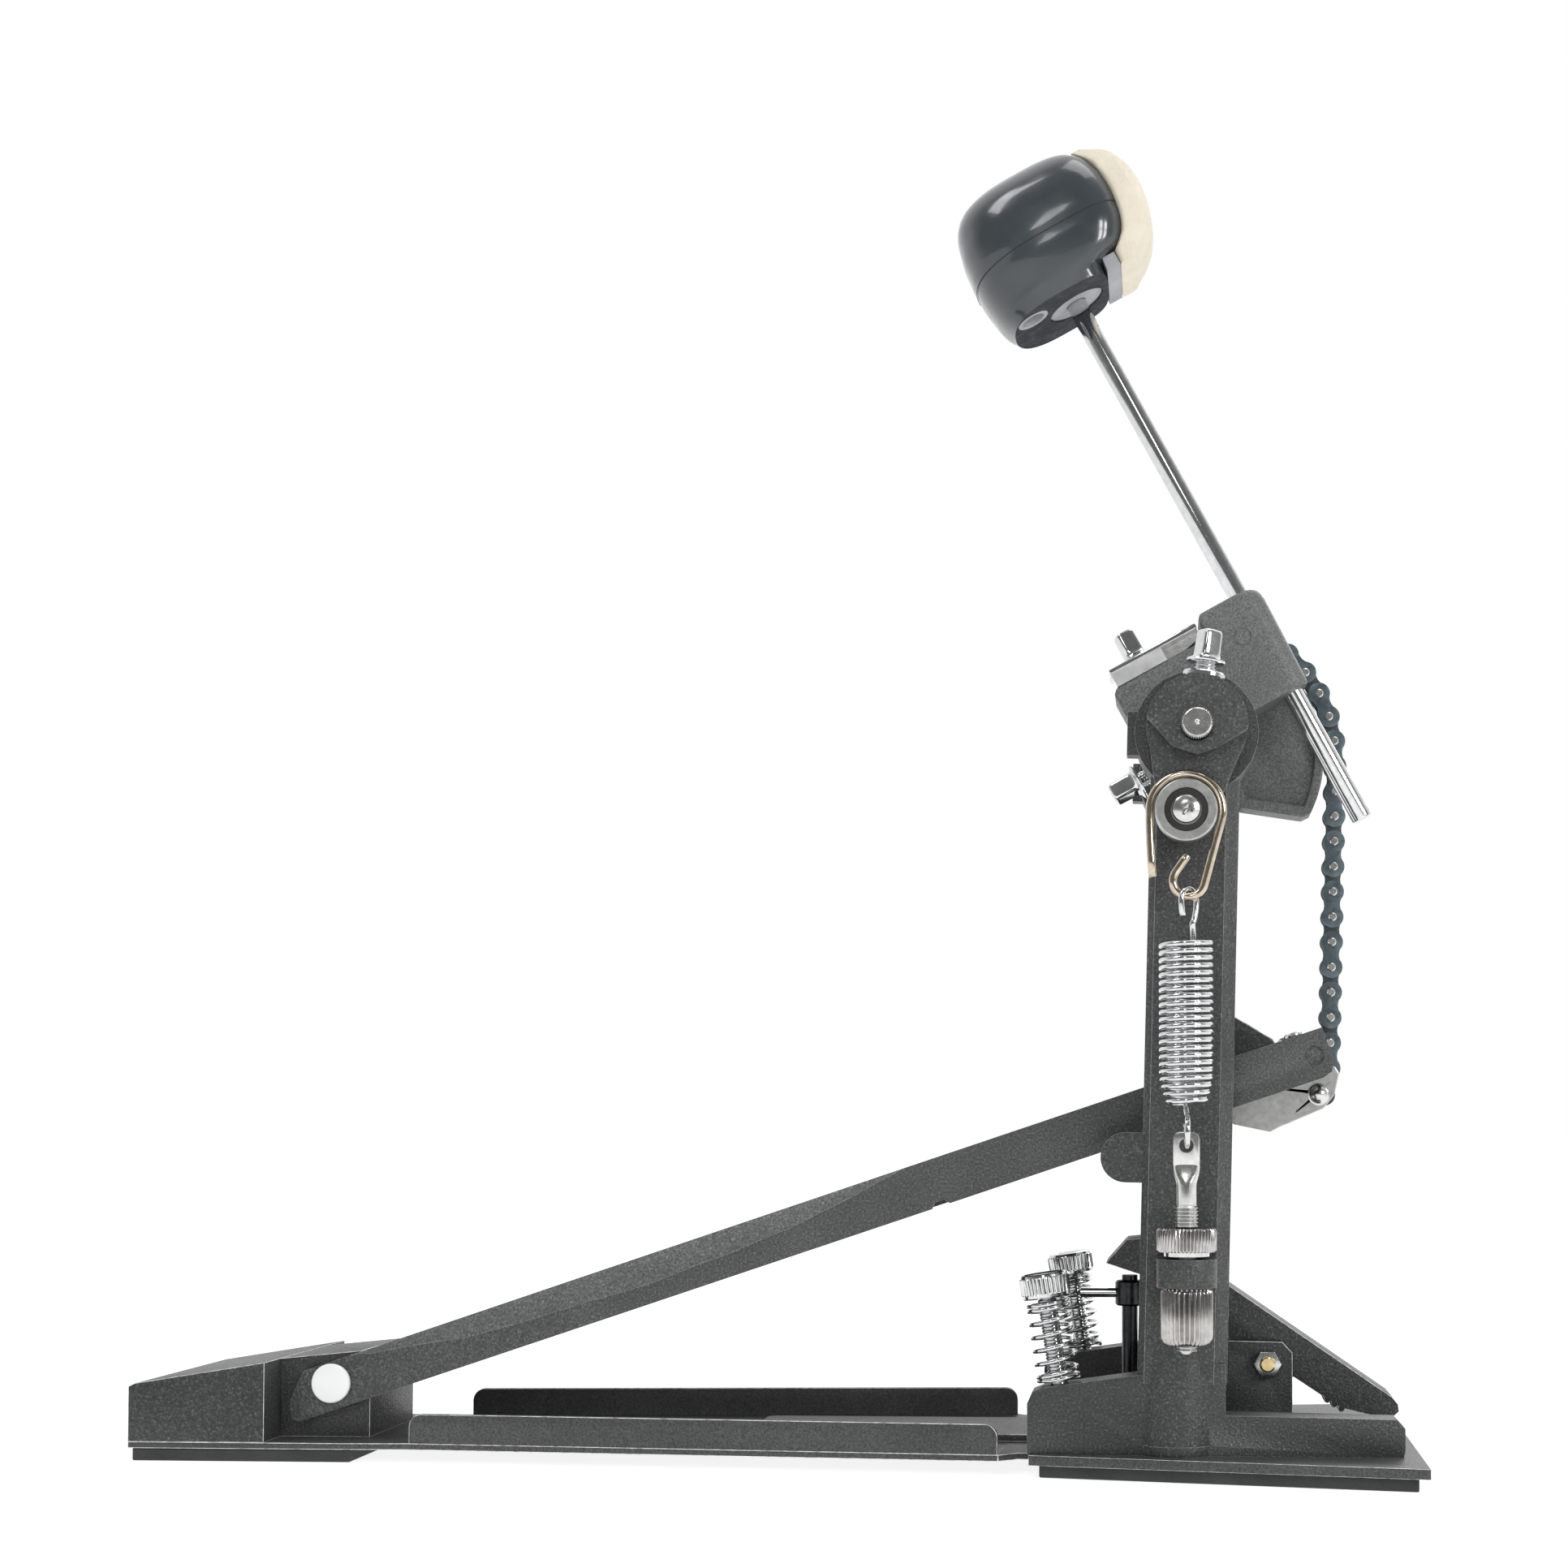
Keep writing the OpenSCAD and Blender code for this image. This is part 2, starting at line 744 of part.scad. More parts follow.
module beater_holder() {
  barrel_r = 5.9;
  color(cast_black) beater_frame() difference() {
    union() {
      slab(shaft_y - 10, shaft_y + 10) {
        circle(13);
        polygon([
          [-14, 0], [-14, block_top - 2], [-12, block_top], [19.6, block_top], [19.6, 35],
          [21, 36], [39.4, 36], [41.7, 33.4], [41, 1.4], [19.8, 2.7], [12.8, 0]
        ]);
      }
      translate([shaft_offset, shaft_y, 1.6]) cylinder(h = 34.4, r = barrel_r);
    }
    rod_y(0, 0, -60, 60, axle_r + run_gap);
    translate([shaft_offset, shaft_y, -20]) cylinder(h = 80, r = shaft_d / 2 + run_gap);
    translate([clamp_bolt_x, shaft_y, 10]) cylinder(h = 60, r = bolt_hole_r);
    translate([-40, shaft_y, hub_screw_z]) rotate([0, 90, 0]) cylinder(h = 36, r = bolt_hole_r);
    translate([8, shaft_y, shaft_screw_z]) rotate([0, 90, 0]) cylinder(h = 26, r = 1.86);
    // Witness mark left by the moulding ejector
    translate([29.2, shaft_y - 10.4, 23.2]) rotate([-90, 0, 0]) cylinder(h = 0.8, r = 2.7);
  }
}

module clamp_plate() {
  near = shaft_y - 10;
  color(chrome) beater_frame() difference() {
    union() {
      translate([-12, near, block_top + plate_lift]) cube([30.4, 18, plate_t]);
      translate([-12, near, block_top]) cube([17.6, plate_t, plate_lift + 0.2]);
    }
    translate([clamp_bolt_x, shaft_y, 20]) cylinder(h = 60, r = bolt_hole_r);
  }
}

module clamp_bolt() {
  color(chrome) beater_frame()
    translate([clamp_bolt_x, shaft_y, block_top + plate_lift + plate_t]) key_bolt(24, bolt_r);
}

module hub_screw() {
  color(chrome) beater_frame()
    translate([-19.3, shaft_y, hub_screw_z]) rotate([0, -90, 0]) key_bolt(13.6, bolt_r);
}

module shaft_screw() {
  color(steel) beater_frame()
    translate([8, shaft_y, shaft_screw_z]) rotate([0, 90, 0]) cylinder(h = 23.9, r = 1.8);
}

module cam() {
  rim = 3;
  half_t = 7;
  color(cast_black) difference() {
    slab(-half_t, half_t) {
      translate([0, axle_z]) circle(15);
      intersection() {
        translate([0, axle_z]) circle(cam_r);
        polygon([
          [0, axle_z], [9, 274], [60, 274], [60, 208.5], [39.8, 208.3], [38.6, 203.6],
          [34, 201.4], [14.3, 204.5]
        ]);
      }
    }
    rod_y(0, axle_z, -60, 60, axle_r + run_gap);
    slab(-half_t - 1, -half_t + 2.5) difference() {
      intersection() {
        translate([0, axle_z]) circle(cam_r - rim);
        polygon([[8, 226], [13.5, 274], [60, 274], [60, 210.5], [35, 204.6], [16, 207.4]]);
      }
      translate([0, axle_z]) circle(15.5);
    }
  }
}

// ---- Chain ----

// One side plate, pinched between its two ends
module link_plate(a, b) {
  d = b - a;
  translate(a) circle(plate_r);
  translate(b) circle(plate_r);
  translate(a) rotate(atan2(d[1], d[0])) translate([0, -waist / 2]) square([norm(d), waist]);
}

module both_sides(y0, y1) {
  slab(y0, y1) children();
  slab(-y1, -y0) children();
}

module inner_link(a, b) {
  both_sides(inner_y[0], inner_y[1]) link_plate(a, b);
  for (p = [a, b]) rod_y(p[0], p[1], -inner_y[1], inner_y[1], roller_link_r);
}

module outer_link(a, b) {
  both_sides(outer_y[0], outer_y[1]) link_plate(a, b);
  for (p = [a, b]) rod_y(p[0], p[1], -pin_y, pin_y, pin_r);
}

module link_bore(p) {
  rod_y(p[0], p[1], -10, 10, pin_r + 0.08);
}

module chain_wrapped() {
  color(chain_blue) {
    for (k = [3, 5]) outer_link(wrap_pin(k + 1), wrap_pin(k));
    for (k = [4, 6]) inner_link(wrap_pin(k + 1), wrap_pin(k));
  }
}

module chain_link_1() {
  color(chain_blue) difference() {
    inner_link(wrap_pin(3), wrap_pin(2));
    link_bore(wrap_pin(3));
    link_bore(wrap_pin(2));
  }
}

module chain_link_2() {
  color(chain_blue) outer_link(wrap_pin(2), wrap_pin(1));
}

module chain_link_3() {
  color(chain_blue) difference() {
    inner_link(wrap_pin(1), wrap_pin(0));
    link_bore(wrap_pin(1));
    link_bore(wrap_pin(0));
  }
}

module chain_link_4() {
  color(chain_blue) outer_link(wrap_pin(0), run_pin(0));
}

module chain_run() {
  color(chain_blue) difference() {
    union() {
      for (k = [0 : 2 : run_links - 2]) inner_link(run_pin(k), run_pin(k + 1));
      for (k = [1 : 2 : run_links - 1]) outer_link(run_pin(k), run_pin(k + 1));
    }
    link_bore(run_pin(0));
  }
}

// The last link: its long eye lets the toe pin drift along the footboard
module chain_end_link() {
  eye_x0 = toe_pin_at[0] - 1.6;
  eye_x1 = toe_pin_at[0] + 2.4;
  wall = 1.5;
  hole = toe_pin_r + 0.4;
  top = run_pin(run_links);
  color(chain_blue) difference() {
    slab(-inner_y[1], inner_y[1]) {
      bar([eye_x0, toe_pin_at[1]], [eye_x1, toe_pin_at[1]], hole + wall);
      bar([toe_pin_at[0] + 2, toe_pin_at[1] + 1.6], top, 2.6);
    }
    slab(-10, 10) bar([eye_x0, toe_pin_at[1]], [eye_x1, toe_pin_at[1]], hole);
    link_bore(top);
  }
}

// ---- Beater ----

module beater_shaft() {
  color(chrome) beater_frame()
    translate([shaft_offset, shaft_y, shaft_z0]) cylinder(h = 179 - shaft_z0, r = shaft_d / 2);
}

// The head's frame: z along the shaft, x towards the drum
module head_frame() {
  beater_frame() translate([shaft_offset, shaft_y, 0]) children();
}

module shaft_hole(r) {
  translate([0, 0, head_cut_z - 20]) cylinder(h = 58, r = r);
}

module head_shell() {
  side = [
    [-21.8, head_cut_z], [-23.6, 144], [-25, 147.5], [-26, 154], [-26.4, 160.7], [-25.7, 170],
    [-24, 177.8], [-22, 181.8], [-18.4, 184.6], [-12, 186.3], [-4.9, 187.3], [7.1, 187],
    [13.5, 185.8], [18.6, 183.6], [21.8, 180.6], [24.2, 176], [25.3, 171], [25.6, 165], [25.2, 160],
    [24.2, 155], [22.3, 151], [19.5, 148.3], [17.2, 147.2], [11.6, 147.2], [11, head_cut_z]
  ];
  color("#1d1f21") head_frame() difference() {
    intersection() {
      slab(-head_half_w, head_half_w) polygon(side);
      translate([0, 0, head_cut_z - 5]) linear_extrude(60) {
        translate([-1.4, 0]) circle(head_half_w);
        translate([-1.4, -head_half_w]) square([30, 2 * head_half_w]);
      }
    }
    shaft_hole(shaft_d / 2 + run_gap);
    translate([0, 0, head_cut_z - 5]) cylinder(h = 9, r = insert_r + 0.2);
    translate([socket_at[0], socket_at[1], head_cut_z - 5]) cylinder(h = 15, r = socket_r + 0.2);
  }
}

module head_insert() {
  color("#8f9196") head_frame() difference() {
    translate([0, 0, head_cut_z + 0.6]) cylinder(h = 3.2, r = insert_r);
    shaft_hole(shaft_d / 2 + run_gap);
  }
}

module head_screw() {
  color("#8f9196") head_frame() translate([socket_at[0], socket_at[1], head_cut_z]) difference() {
    cylinder(h = 9.8, r = socket_r);
    translate([0, 0, -1]) cylinder(h = 6, r = socket_r - 1.4);
  }
}

module head_spacer() {
  half_w = head_half_w - 9;
  color("#8f9196") head_frame() slab(-half_w, half_w)
    polygon([[11.4, head_cut_z], [16, head_cut_z], [16, 146.9], [11.8, 146.9]]);
}

module head_felt() {
  half_w = head_half_w - 6;
  side = [
    [16.2, head_cut_z], [23, head_cut_z], [28, 145], [31.6, 150.4], [33.6, 156.7], [34.8, 163],
    [34.3, 169], [32, 175], [28.2, 179], [23.2, 181.4], [24.8, 176.2], [25.8, 171.1], [26, 165],
    [25.6, 160], [24.6, 154.8], [22.6, 150.6], [19.8, 147.9], [17.3, 146.8], [16.2, 146.8]
  ];
  color(felt_cream) head_frame() intersection() {
    slab(-half_w, half_w) polygon(side);
    translate([0, 0, head_cut_z - 5]) linear_extrude(60) {
      translate([13.4, 0]) circle(half_w + 2);
      translate([5, -half_w]) square([8.4, 2 * half_w]);
    }
  }
}

// ---- Footboard ----

function board_plan(inset) = [
  [-20, -board_ear_y + inset], [12, -board_ear_y + inset], [90, -board_half_w + inset],
  [board_len - inset, -board_half_w + inset], [board_len - inset, board_half_w - inset],
  [90, board_half_w - inset], [12, board_ear_y - inset], [-20, board_ear_y - inset]
];

module footboard() {
  edge = [
    [-15.6, -6.5], [-13.8, board_low], [197, board_low], [198.4, board_low + 1.6],
    [201.6, board_low + 1.6], [203, board_low], [322.5, board_low], [325.6, -7.2], [327, -4],
    [328, board_high], [-7.5, board_high], [-14.5, -1]
  ];
  color(powder_black) board_frame() difference() {
    intersection() {
      slab(-60, 60) polygon(edge);
      union() {
        translate([0, 0, board_low - 1]) linear_extrude(20) difference() {
          polygon(board_plan(0));
          polygon(board_plan(board_wall));
          translate([-30, -board_ear_y + 1]) square([40, 2 * board_ear_y - 2]);
        }
        translate([0, 0, board_low - 1]) linear_extrude(20) for (side = [-1, 1])
          translate([-20, side > 0 ? board_ear_y - board_wall : -board_ear_y])
            square([32, board_wall]);
        translate([0, 0, channel_top]) linear_extrude(board_high - channel_top)
          difference() {
            polygon(board_plan(0));
            translate([-30, -60]) square([46, 120]);
          }
      }
    }
    rod_y(0, 0, -60, 60, heel_pin_r + run_gap);
    // Slot for the chain
    translate([315, -chain_slot_half, -20]) cube([30, 2 * chain_slot_half, 40]);
    // Notch for the toe bracket's cheeks
    translate([board_len - 4, -cheek_notch / 2, -20]) cube([10, cheek_notch, 18]);
    rod_y(322, -1, -board_half_w - 1, -board_half_w + 0.9, 3.1);
    for (y = [-toe_screw_y, toe_screw_y]) translate([toe_screw_u, y, -5])
      cylinder(h = 20, r = screw_r + run_gap);
  }
}

module heel_bushes() {
  color(rubber_black) board_frame() for (side = [-1, 1]) difference() {
    rod_y(0, 0, side > 0 ? 22.4 : -23.9, side > 0 ? 23.9 : -22.4, 5.5);
    rod_y(0, 0, -60, 60, heel_pin_r + run_gap);
  }
}

module toe_bracket() {
  cheek = [
    [292, channel_top], [292, -11], [293.5, -13.6], [302.9, -19.1], [306, -18.6], [321, -17.4],
    [325.5, -14.5], [329, -8.5], [328.6, -6.4], [323.6, -3], [323.6, channel_top]
  ];
  color(steel) difference() {
    board_frame() {
      for (side = [-1, 1]) slab(side > 0 ? 12 : -14, side > 0 ? 14 : -12) polygon(cheek);
      difference() {
        translate([292, -26, channel_top - 2]) cube([31.6, 52, 2]);
        translate([315, -chain_slot_half, -20]) cube([30, 2 * chain_slot_half, 40]);
        for (y = [-toe_screw_y, toe_screw_y]) translate([toe_screw_u, y, -5])
          cylinder(h = 20, r = screw_r + run_gap);
      }
    }
    rod_y(toe_pin_at[0], toe_pin_at[1], -30, 30, toe_pin_r + run_gap);
  }
}

module toe_pin() {
  head_r = 3.4;
  color(steel) {
    rod_y(toe_pin_at[0], toe_pin_at[1], -15.2, 15.2, toe_pin_r);
    rod_y(toe_pin_at[0], toe_pin_at[1], -16.6, -14.4, head_r);
    rod_y(toe_pin_at[0], toe_pin_at[1], 14.4, 16.6, head_r);
  }
}

module toe_screws() {
  color(steel) board_frame() for (y = [-toe_screw_y, toe_screw_y]) translate([toe_screw_u, y, 0]) {
    translate([0, 0, channel_top - 3]) cylinder(h = 5.4, r = screw_r);
    translate([0, 0, board_high + 0.1]) cylinder(h = 1.5, r = 3);
    translate([0, 0, board_high - 2]) cylinder(h = 2.4, r = screw_r);
  }
}

module toe_stop() {
  color(powder_black) board_frame() slab(-11, 11) polygon([
    [289, board_high + 0.02], [290, 17.5], [292, 19.6], [303.4, 19.6], [313.2, 8.2],
    [313.4, board_high + 0.02]
  ]);
}

base_plate();
tongue_plate();
front_plate();
heel_pad();
front_pad();
heel_block();
heel_screws();
hinge_pin();
near_pedestal();
far_pedestal();
pedestal_screws();
near_bearing();
far_bearing();
clamp_bridge();
clamp_bracket();
jaw_bolt();
hoop_pad();
tension_rod();
knurled_nut();
barrel_nut();
spur_spring_near();
spur_spring_far();
spur_bolt_near();
spur_bolt_far();
jaw_lever();
clamp_screw();
clamp_tee();
axle();
axle_collar();
rocker_arm();
arm_set_screw();
roller_screw();
roller();
wire_hook();
extension_spring();
beater_holder();
clamp_plate();
clamp_bolt();
hub_screw();
shaft_screw();
cam();
chain_wrapped();
chain_link_1();
chain_link_2();
chain_link_3();
chain_link_4();
chain_run();
chain_end_link();
beater_shaft();
head_shell();
head_spacer();
head_felt();
head_insert();
head_screw();
footboard();
heel_bushes();
toe_bracket();
toe_screws();
toe_pin();
toe_stop();
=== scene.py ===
import math

import bmesh
import bpy
from mathutils import Matrix, Vector, noise


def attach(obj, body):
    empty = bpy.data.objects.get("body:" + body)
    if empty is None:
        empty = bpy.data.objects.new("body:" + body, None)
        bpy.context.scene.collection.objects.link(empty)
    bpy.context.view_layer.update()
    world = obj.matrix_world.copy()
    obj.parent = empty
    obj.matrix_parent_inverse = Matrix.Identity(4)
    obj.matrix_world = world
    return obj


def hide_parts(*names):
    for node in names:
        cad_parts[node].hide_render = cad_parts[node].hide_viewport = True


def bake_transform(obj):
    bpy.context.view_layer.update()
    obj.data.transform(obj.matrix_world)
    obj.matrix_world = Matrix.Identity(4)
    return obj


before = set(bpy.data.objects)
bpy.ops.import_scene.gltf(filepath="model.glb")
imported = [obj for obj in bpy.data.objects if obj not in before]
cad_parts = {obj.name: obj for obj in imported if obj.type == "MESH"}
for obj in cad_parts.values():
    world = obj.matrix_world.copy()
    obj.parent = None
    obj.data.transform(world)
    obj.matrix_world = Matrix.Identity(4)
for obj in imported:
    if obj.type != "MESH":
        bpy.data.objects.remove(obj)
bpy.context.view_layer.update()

# Lengths below are in millimetres, in the row frame, unless a name ends in _M.
MM = 0.001
AXLE_Z = 220.5
SPRING = (-3.4, -73.5)
ROLLER = (-3.2, 195.5)
SHAFT_X = 35.5
SHAFT_Y = -18.0
CLAMP_X = -1.9
BLOCK_TOP, PLATE_LOW, PLATE_TOP = 28.2, 32.7, 34.2  # the holder's block and its clamp plate
HEEL_X, HEEL_Z = -270, 23.4
JAW_X, JAW_Z = 21.8, 30.2
TEE_X = -21
EYE_Z = 98.5  # the eye of the tension rod
SPRING_WIRE = 0.85  # radius of the return spring's wire

BEATER = Matrix.Translation((0, 0, AXLE_Z)) @ Matrix.Rotation(math.radians(-28.5), 4, "Y")
HEAD = BEATER @ Matrix.Translation((SHAFT_X, SHAFT_Y, 0))
BOARD = Matrix.Translation((HEEL_X, 0, HEEL_Z)) @ Matrix.Rotation(math.radians(-18.6), 4, "Y")
ALONG_Y = Matrix.Rotation(math.radians(-90), 4, "X")  # a lathe's axis turned to +Y


def spur_frame(side):
    foot = (-41.2, -50, 27.5) if side < 0 else (-37.6, 50, 28.0)
    return Matrix.Translation(foot) @ Matrix.Rotation(math.radians(-8.4), 4, "Y")


# ---------------------------------------------------------------- materials

def node_tree(name):
    mat = bpy.data.materials.new(name)
    mat.use_nodes = True
    tree = mat.node_tree
    tree.nodes.clear()
    out = tree.nodes.new("ShaderNodeOutputMaterial")
    shader = tree.nodes.new("ShaderNodeBsdfPrincipled")
    tree.links.new(shader.outputs["BSDF"], out.inputs["Surface"])
    return mat, tree, shader


def add_noise(tree, scale, detail=3.0, rough=0.55, stretch=None):
    """Noise in object coordinates, which are metres; stretch scales each axis by its own factor."""
    coord = tree.nodes.new("ShaderNodeTexCoord")
    tex = tree.nodes.new("ShaderNodeTexNoise")
    tex.inputs["Scale"].default_value = scale
    tex.inputs["Detail"].default_value = detail
    tex.inputs["Roughness"].default_value = rough
    vector = coord.outputs["Object"]
    if stretch:
        mapping = tree.nodes.new("ShaderNodeMapping")
        mapping.inputs["Scale"].default_value = stretch
        tree.links.new(vector, mapping.inputs["Vector"])
        vector = mapping.outputs["Vector"]
    tree.links.new(vector, tex.inputs["Vector"])
    return tex.outputs["Fac"]


def grey(level):
    return (level, level, level)


def ramp(tree, value, stops):
    node = tree.nodes.new("ShaderNodeValToRGB")
    ends = node.color_ramp.elements
    for i, (place, colour) in enumerate(stops):
        stop = ends[i] if i < 2 else ends.new(place)
        stop.position = place
        stop.color = (*colour, 1) if len(colour) == 3 else colour
    tree.links.new(value, node.inputs["Fac"])
    return node.outputs["Color"]


def mix(tree, amount, low, high):
    node = tree.nodes.new("ShaderNodeMix")
    node.data_type = "RGBA"
    tree.links.new(amount, node.inputs["Factor"])
    for value, socket in ((low, node.inputs["A"]), (high, node.inputs["B"])):
        if isinstance(value, tuple):
            socket.default_value = (*value, 1)
        else:
            tree.links.new(value, socket)
    return node.outputs["Result"]


def math_node(tree, kind, a, b):
    node = tree.nodes.new("ShaderNodeMath")
    node.operation = kind
    for value, socket in ((a, node.inputs[0]), (b, node.inputs[1])):
        if isinstance(value, (int, float)):
            socket.default_value = value
        else:
            tree.links.new(value, socket)
    return node.outputs[0]


def bump(tree, shader, layers):
    """Stacks bump layers of (height, depth in metres)."""
    below = None
    for height, depth in layers:
        node = tree.nodes.new("ShaderNodeBump")
        node.inputs["Strength"].default_value = 1.0
        node.inputs["Distance"].default_value = depth
        tree.links.new(height, node.inputs["Height"])
        if below:
            tree.links.new(below, node.inputs["Normal"])
        below = node.outputs["Normal"]
    tree.links.new(below, shader.inputs["Normal"])


def painted(name, dark, light, rough, grain_scale=1150, grain=0.00016, peak_highlight=0.5):
    """Black powder coat: leathery grain in height, with painted shade and highlight in its tone, darker in
    the grain's hollows and lighter on its bumps, and small whitish flecks painted as highlights on the peaks.
    """
    mat, tree, shader = node_tree(name)
    drift = add_noise(tree, 38, 4)
    tone = ramp(tree, drift, [(0.3, dark), (0.75, light)])
    fine = add_noise(tree, grain_scale, 1.5, 0.5)
    # Painted shade and highlight: the tone is darker where the grain is low and lighter where it is high
    shade = ramp(tree, fine, [(0.34, grey(0.62)), (0.62, grey(1.28))])
    grain_shaded_tone = tree.nodes.new("ShaderNodeVectorMath")
    grain_shaded_tone.operation = "MULTIPLY"
    tree.links.new(tone, grain_shaded_tone.inputs[0])
    tree.links.new(shade, grain_shaded_tone.inputs[1])
    # Painted highlights: whitish flecks on the grain's peaks
    peaks = ramp(tree, fine, [(0.60, grey(0)), (0.74, grey(peak_highlight))])
    painted_light = tuple(min(1, c * 4 + 0.03) for c in light)
    tree.links.new(mix(tree, peaks, grain_shaded_tone.outputs["Vector"], painted_light), shader.inputs["Base Color"])
    gloss = ramp(tree, fine, [(0.3, grey(rough + 0.12)), (0.7, grey(rough - 0.06))])
    tree.links.new(gloss, shader.inputs["Roughness"])
    bump(tree, shader, [(fine, grain), (add_noise(tree, grain_scale * 0.4, 2.0), grain * 0.7)])
    return mat


def edge_wear_and_highlight(name):
    """The thin bright line along an edge, partly the coating worn there and partly a painted highlight where
    the edge catches the light; broken up a little.
    """
    mat, tree, shader = node_tree(name)
    breaks = add_noise(tree, 420, 4, 0.6)
    tone = ramp(tree, breaks, [(0.30, (0.24, 0.24, 0.24)), (0.55, (0.75, 0.75, 0.74))])
    tree.links.new(tone, shader.inputs["Base Color"])
    shader.inputs["Roughness"].default_value = 0.34
    bump(tree, shader, [(add_noise(tree, 1500, 2), 0.00003)])
    return mat


def metal(name, low, high, rough, brushed=None, depth=0.000006, spots=420):
    """Bare or plated metal: slight tone and gloss drift, with brushing lines where asked."""
    mat, tree, shader = node_tree(name)
    shader.inputs["Metallic"].default_value = 1.0
    drift = add_noise(tree, spots, 3)
    tree.links.new(ramp(tree, drift, [(0.3, low), (0.7, high)]), shader.inputs["Base Color"])
    lines = add_noise(tree, 900, 4, 0.6, brushed) if brushed else add_noise(tree, 160, 3)
    gloss = ramp(tree, lines, [(0.3, grey(rough * 0.75)), (0.75, grey(rough * 1.35))])
    tree.links.new(gloss, shader.inputs["Roughness"])
    bump(tree, shader, [(lines, depth)])
    return mat


def rubber(name):
    mat, tree, shader = node_tree(name)
    drift = add_noise(tree, 60, 4)
    colours = [(0.3, (0.030, 0.032, 0.031)), (0.8, (0.052, 0.055, 0.053))]
    tree.links.new(ramp(tree, drift, colours), shader.inputs["Base Color"])
    fine = add_noise(tree, 1700, 2)
    tree.links.new(ramp(tree, fine, [(0.2, grey(0.62)), (0.8, grey(0.86))]), shader.inputs["Roughness"])
    bump(tree, shader, [(fine, 0.00006)])
    return mat


def gloss_plastic(name, low, high, rough, coat):
    mat, tree, shader = node_tree(name)
    drift = add_noise(tree, 45, 4)
    tree.links.new(ramp(tree, drift, [(0.3, low), (0.75, high)]), shader.inputs["Base Color"])
    scuff = add_noise(tree, 220, 5, 0.7)
    gloss = ramp(tree, scuff, [(0.35, grey(rough)), (0.8, grey(rough * 1.9))])
    tree.links.new(gloss, shader.inputs["Roughness"])
    shader.inputs["Coat Weight"].default_value = coat
    shader.inputs["Coat Roughness"].default_value = 0.06
    bump(tree, shader, [(add_noise(tree, 60, 2), 0.00012)])
    return mat


def felt(name):
    mat, tree, shader = node_tree(name)
    clouds = add_noise(tree, 110, 5, 0.65)
    tone = ramp(tree, clouds, [(0.3, (0.68, 0.61, 0.49)), (0.7, (0.78, 0.72, 0.60))])
    fibres = add_noise(tree, 2600, 4, 0.7, (1.0, 0.45, 1.6))
    tree.links.new(mix(tree, ramp(tree, fibres, [(0.42, grey(0)), (0.75, grey(0.5))]),
                       tone, (0.86, 0.81, 0.70)), shader.inputs["Base Color"])
    shader.inputs["Roughness"].default_value = 0.95
    shader.inputs["Sheen Weight"].default_value = 0.25
    shader.inputs["Sheen Roughness"].default_value = 0.5
    shader.inputs["Sheen Tint"].default_value = (1.0, 0.96, 0.86, 1)
    bump(tree, shader, [(fibres, 0.00035), (clouds, 0.0006)])
    return mat


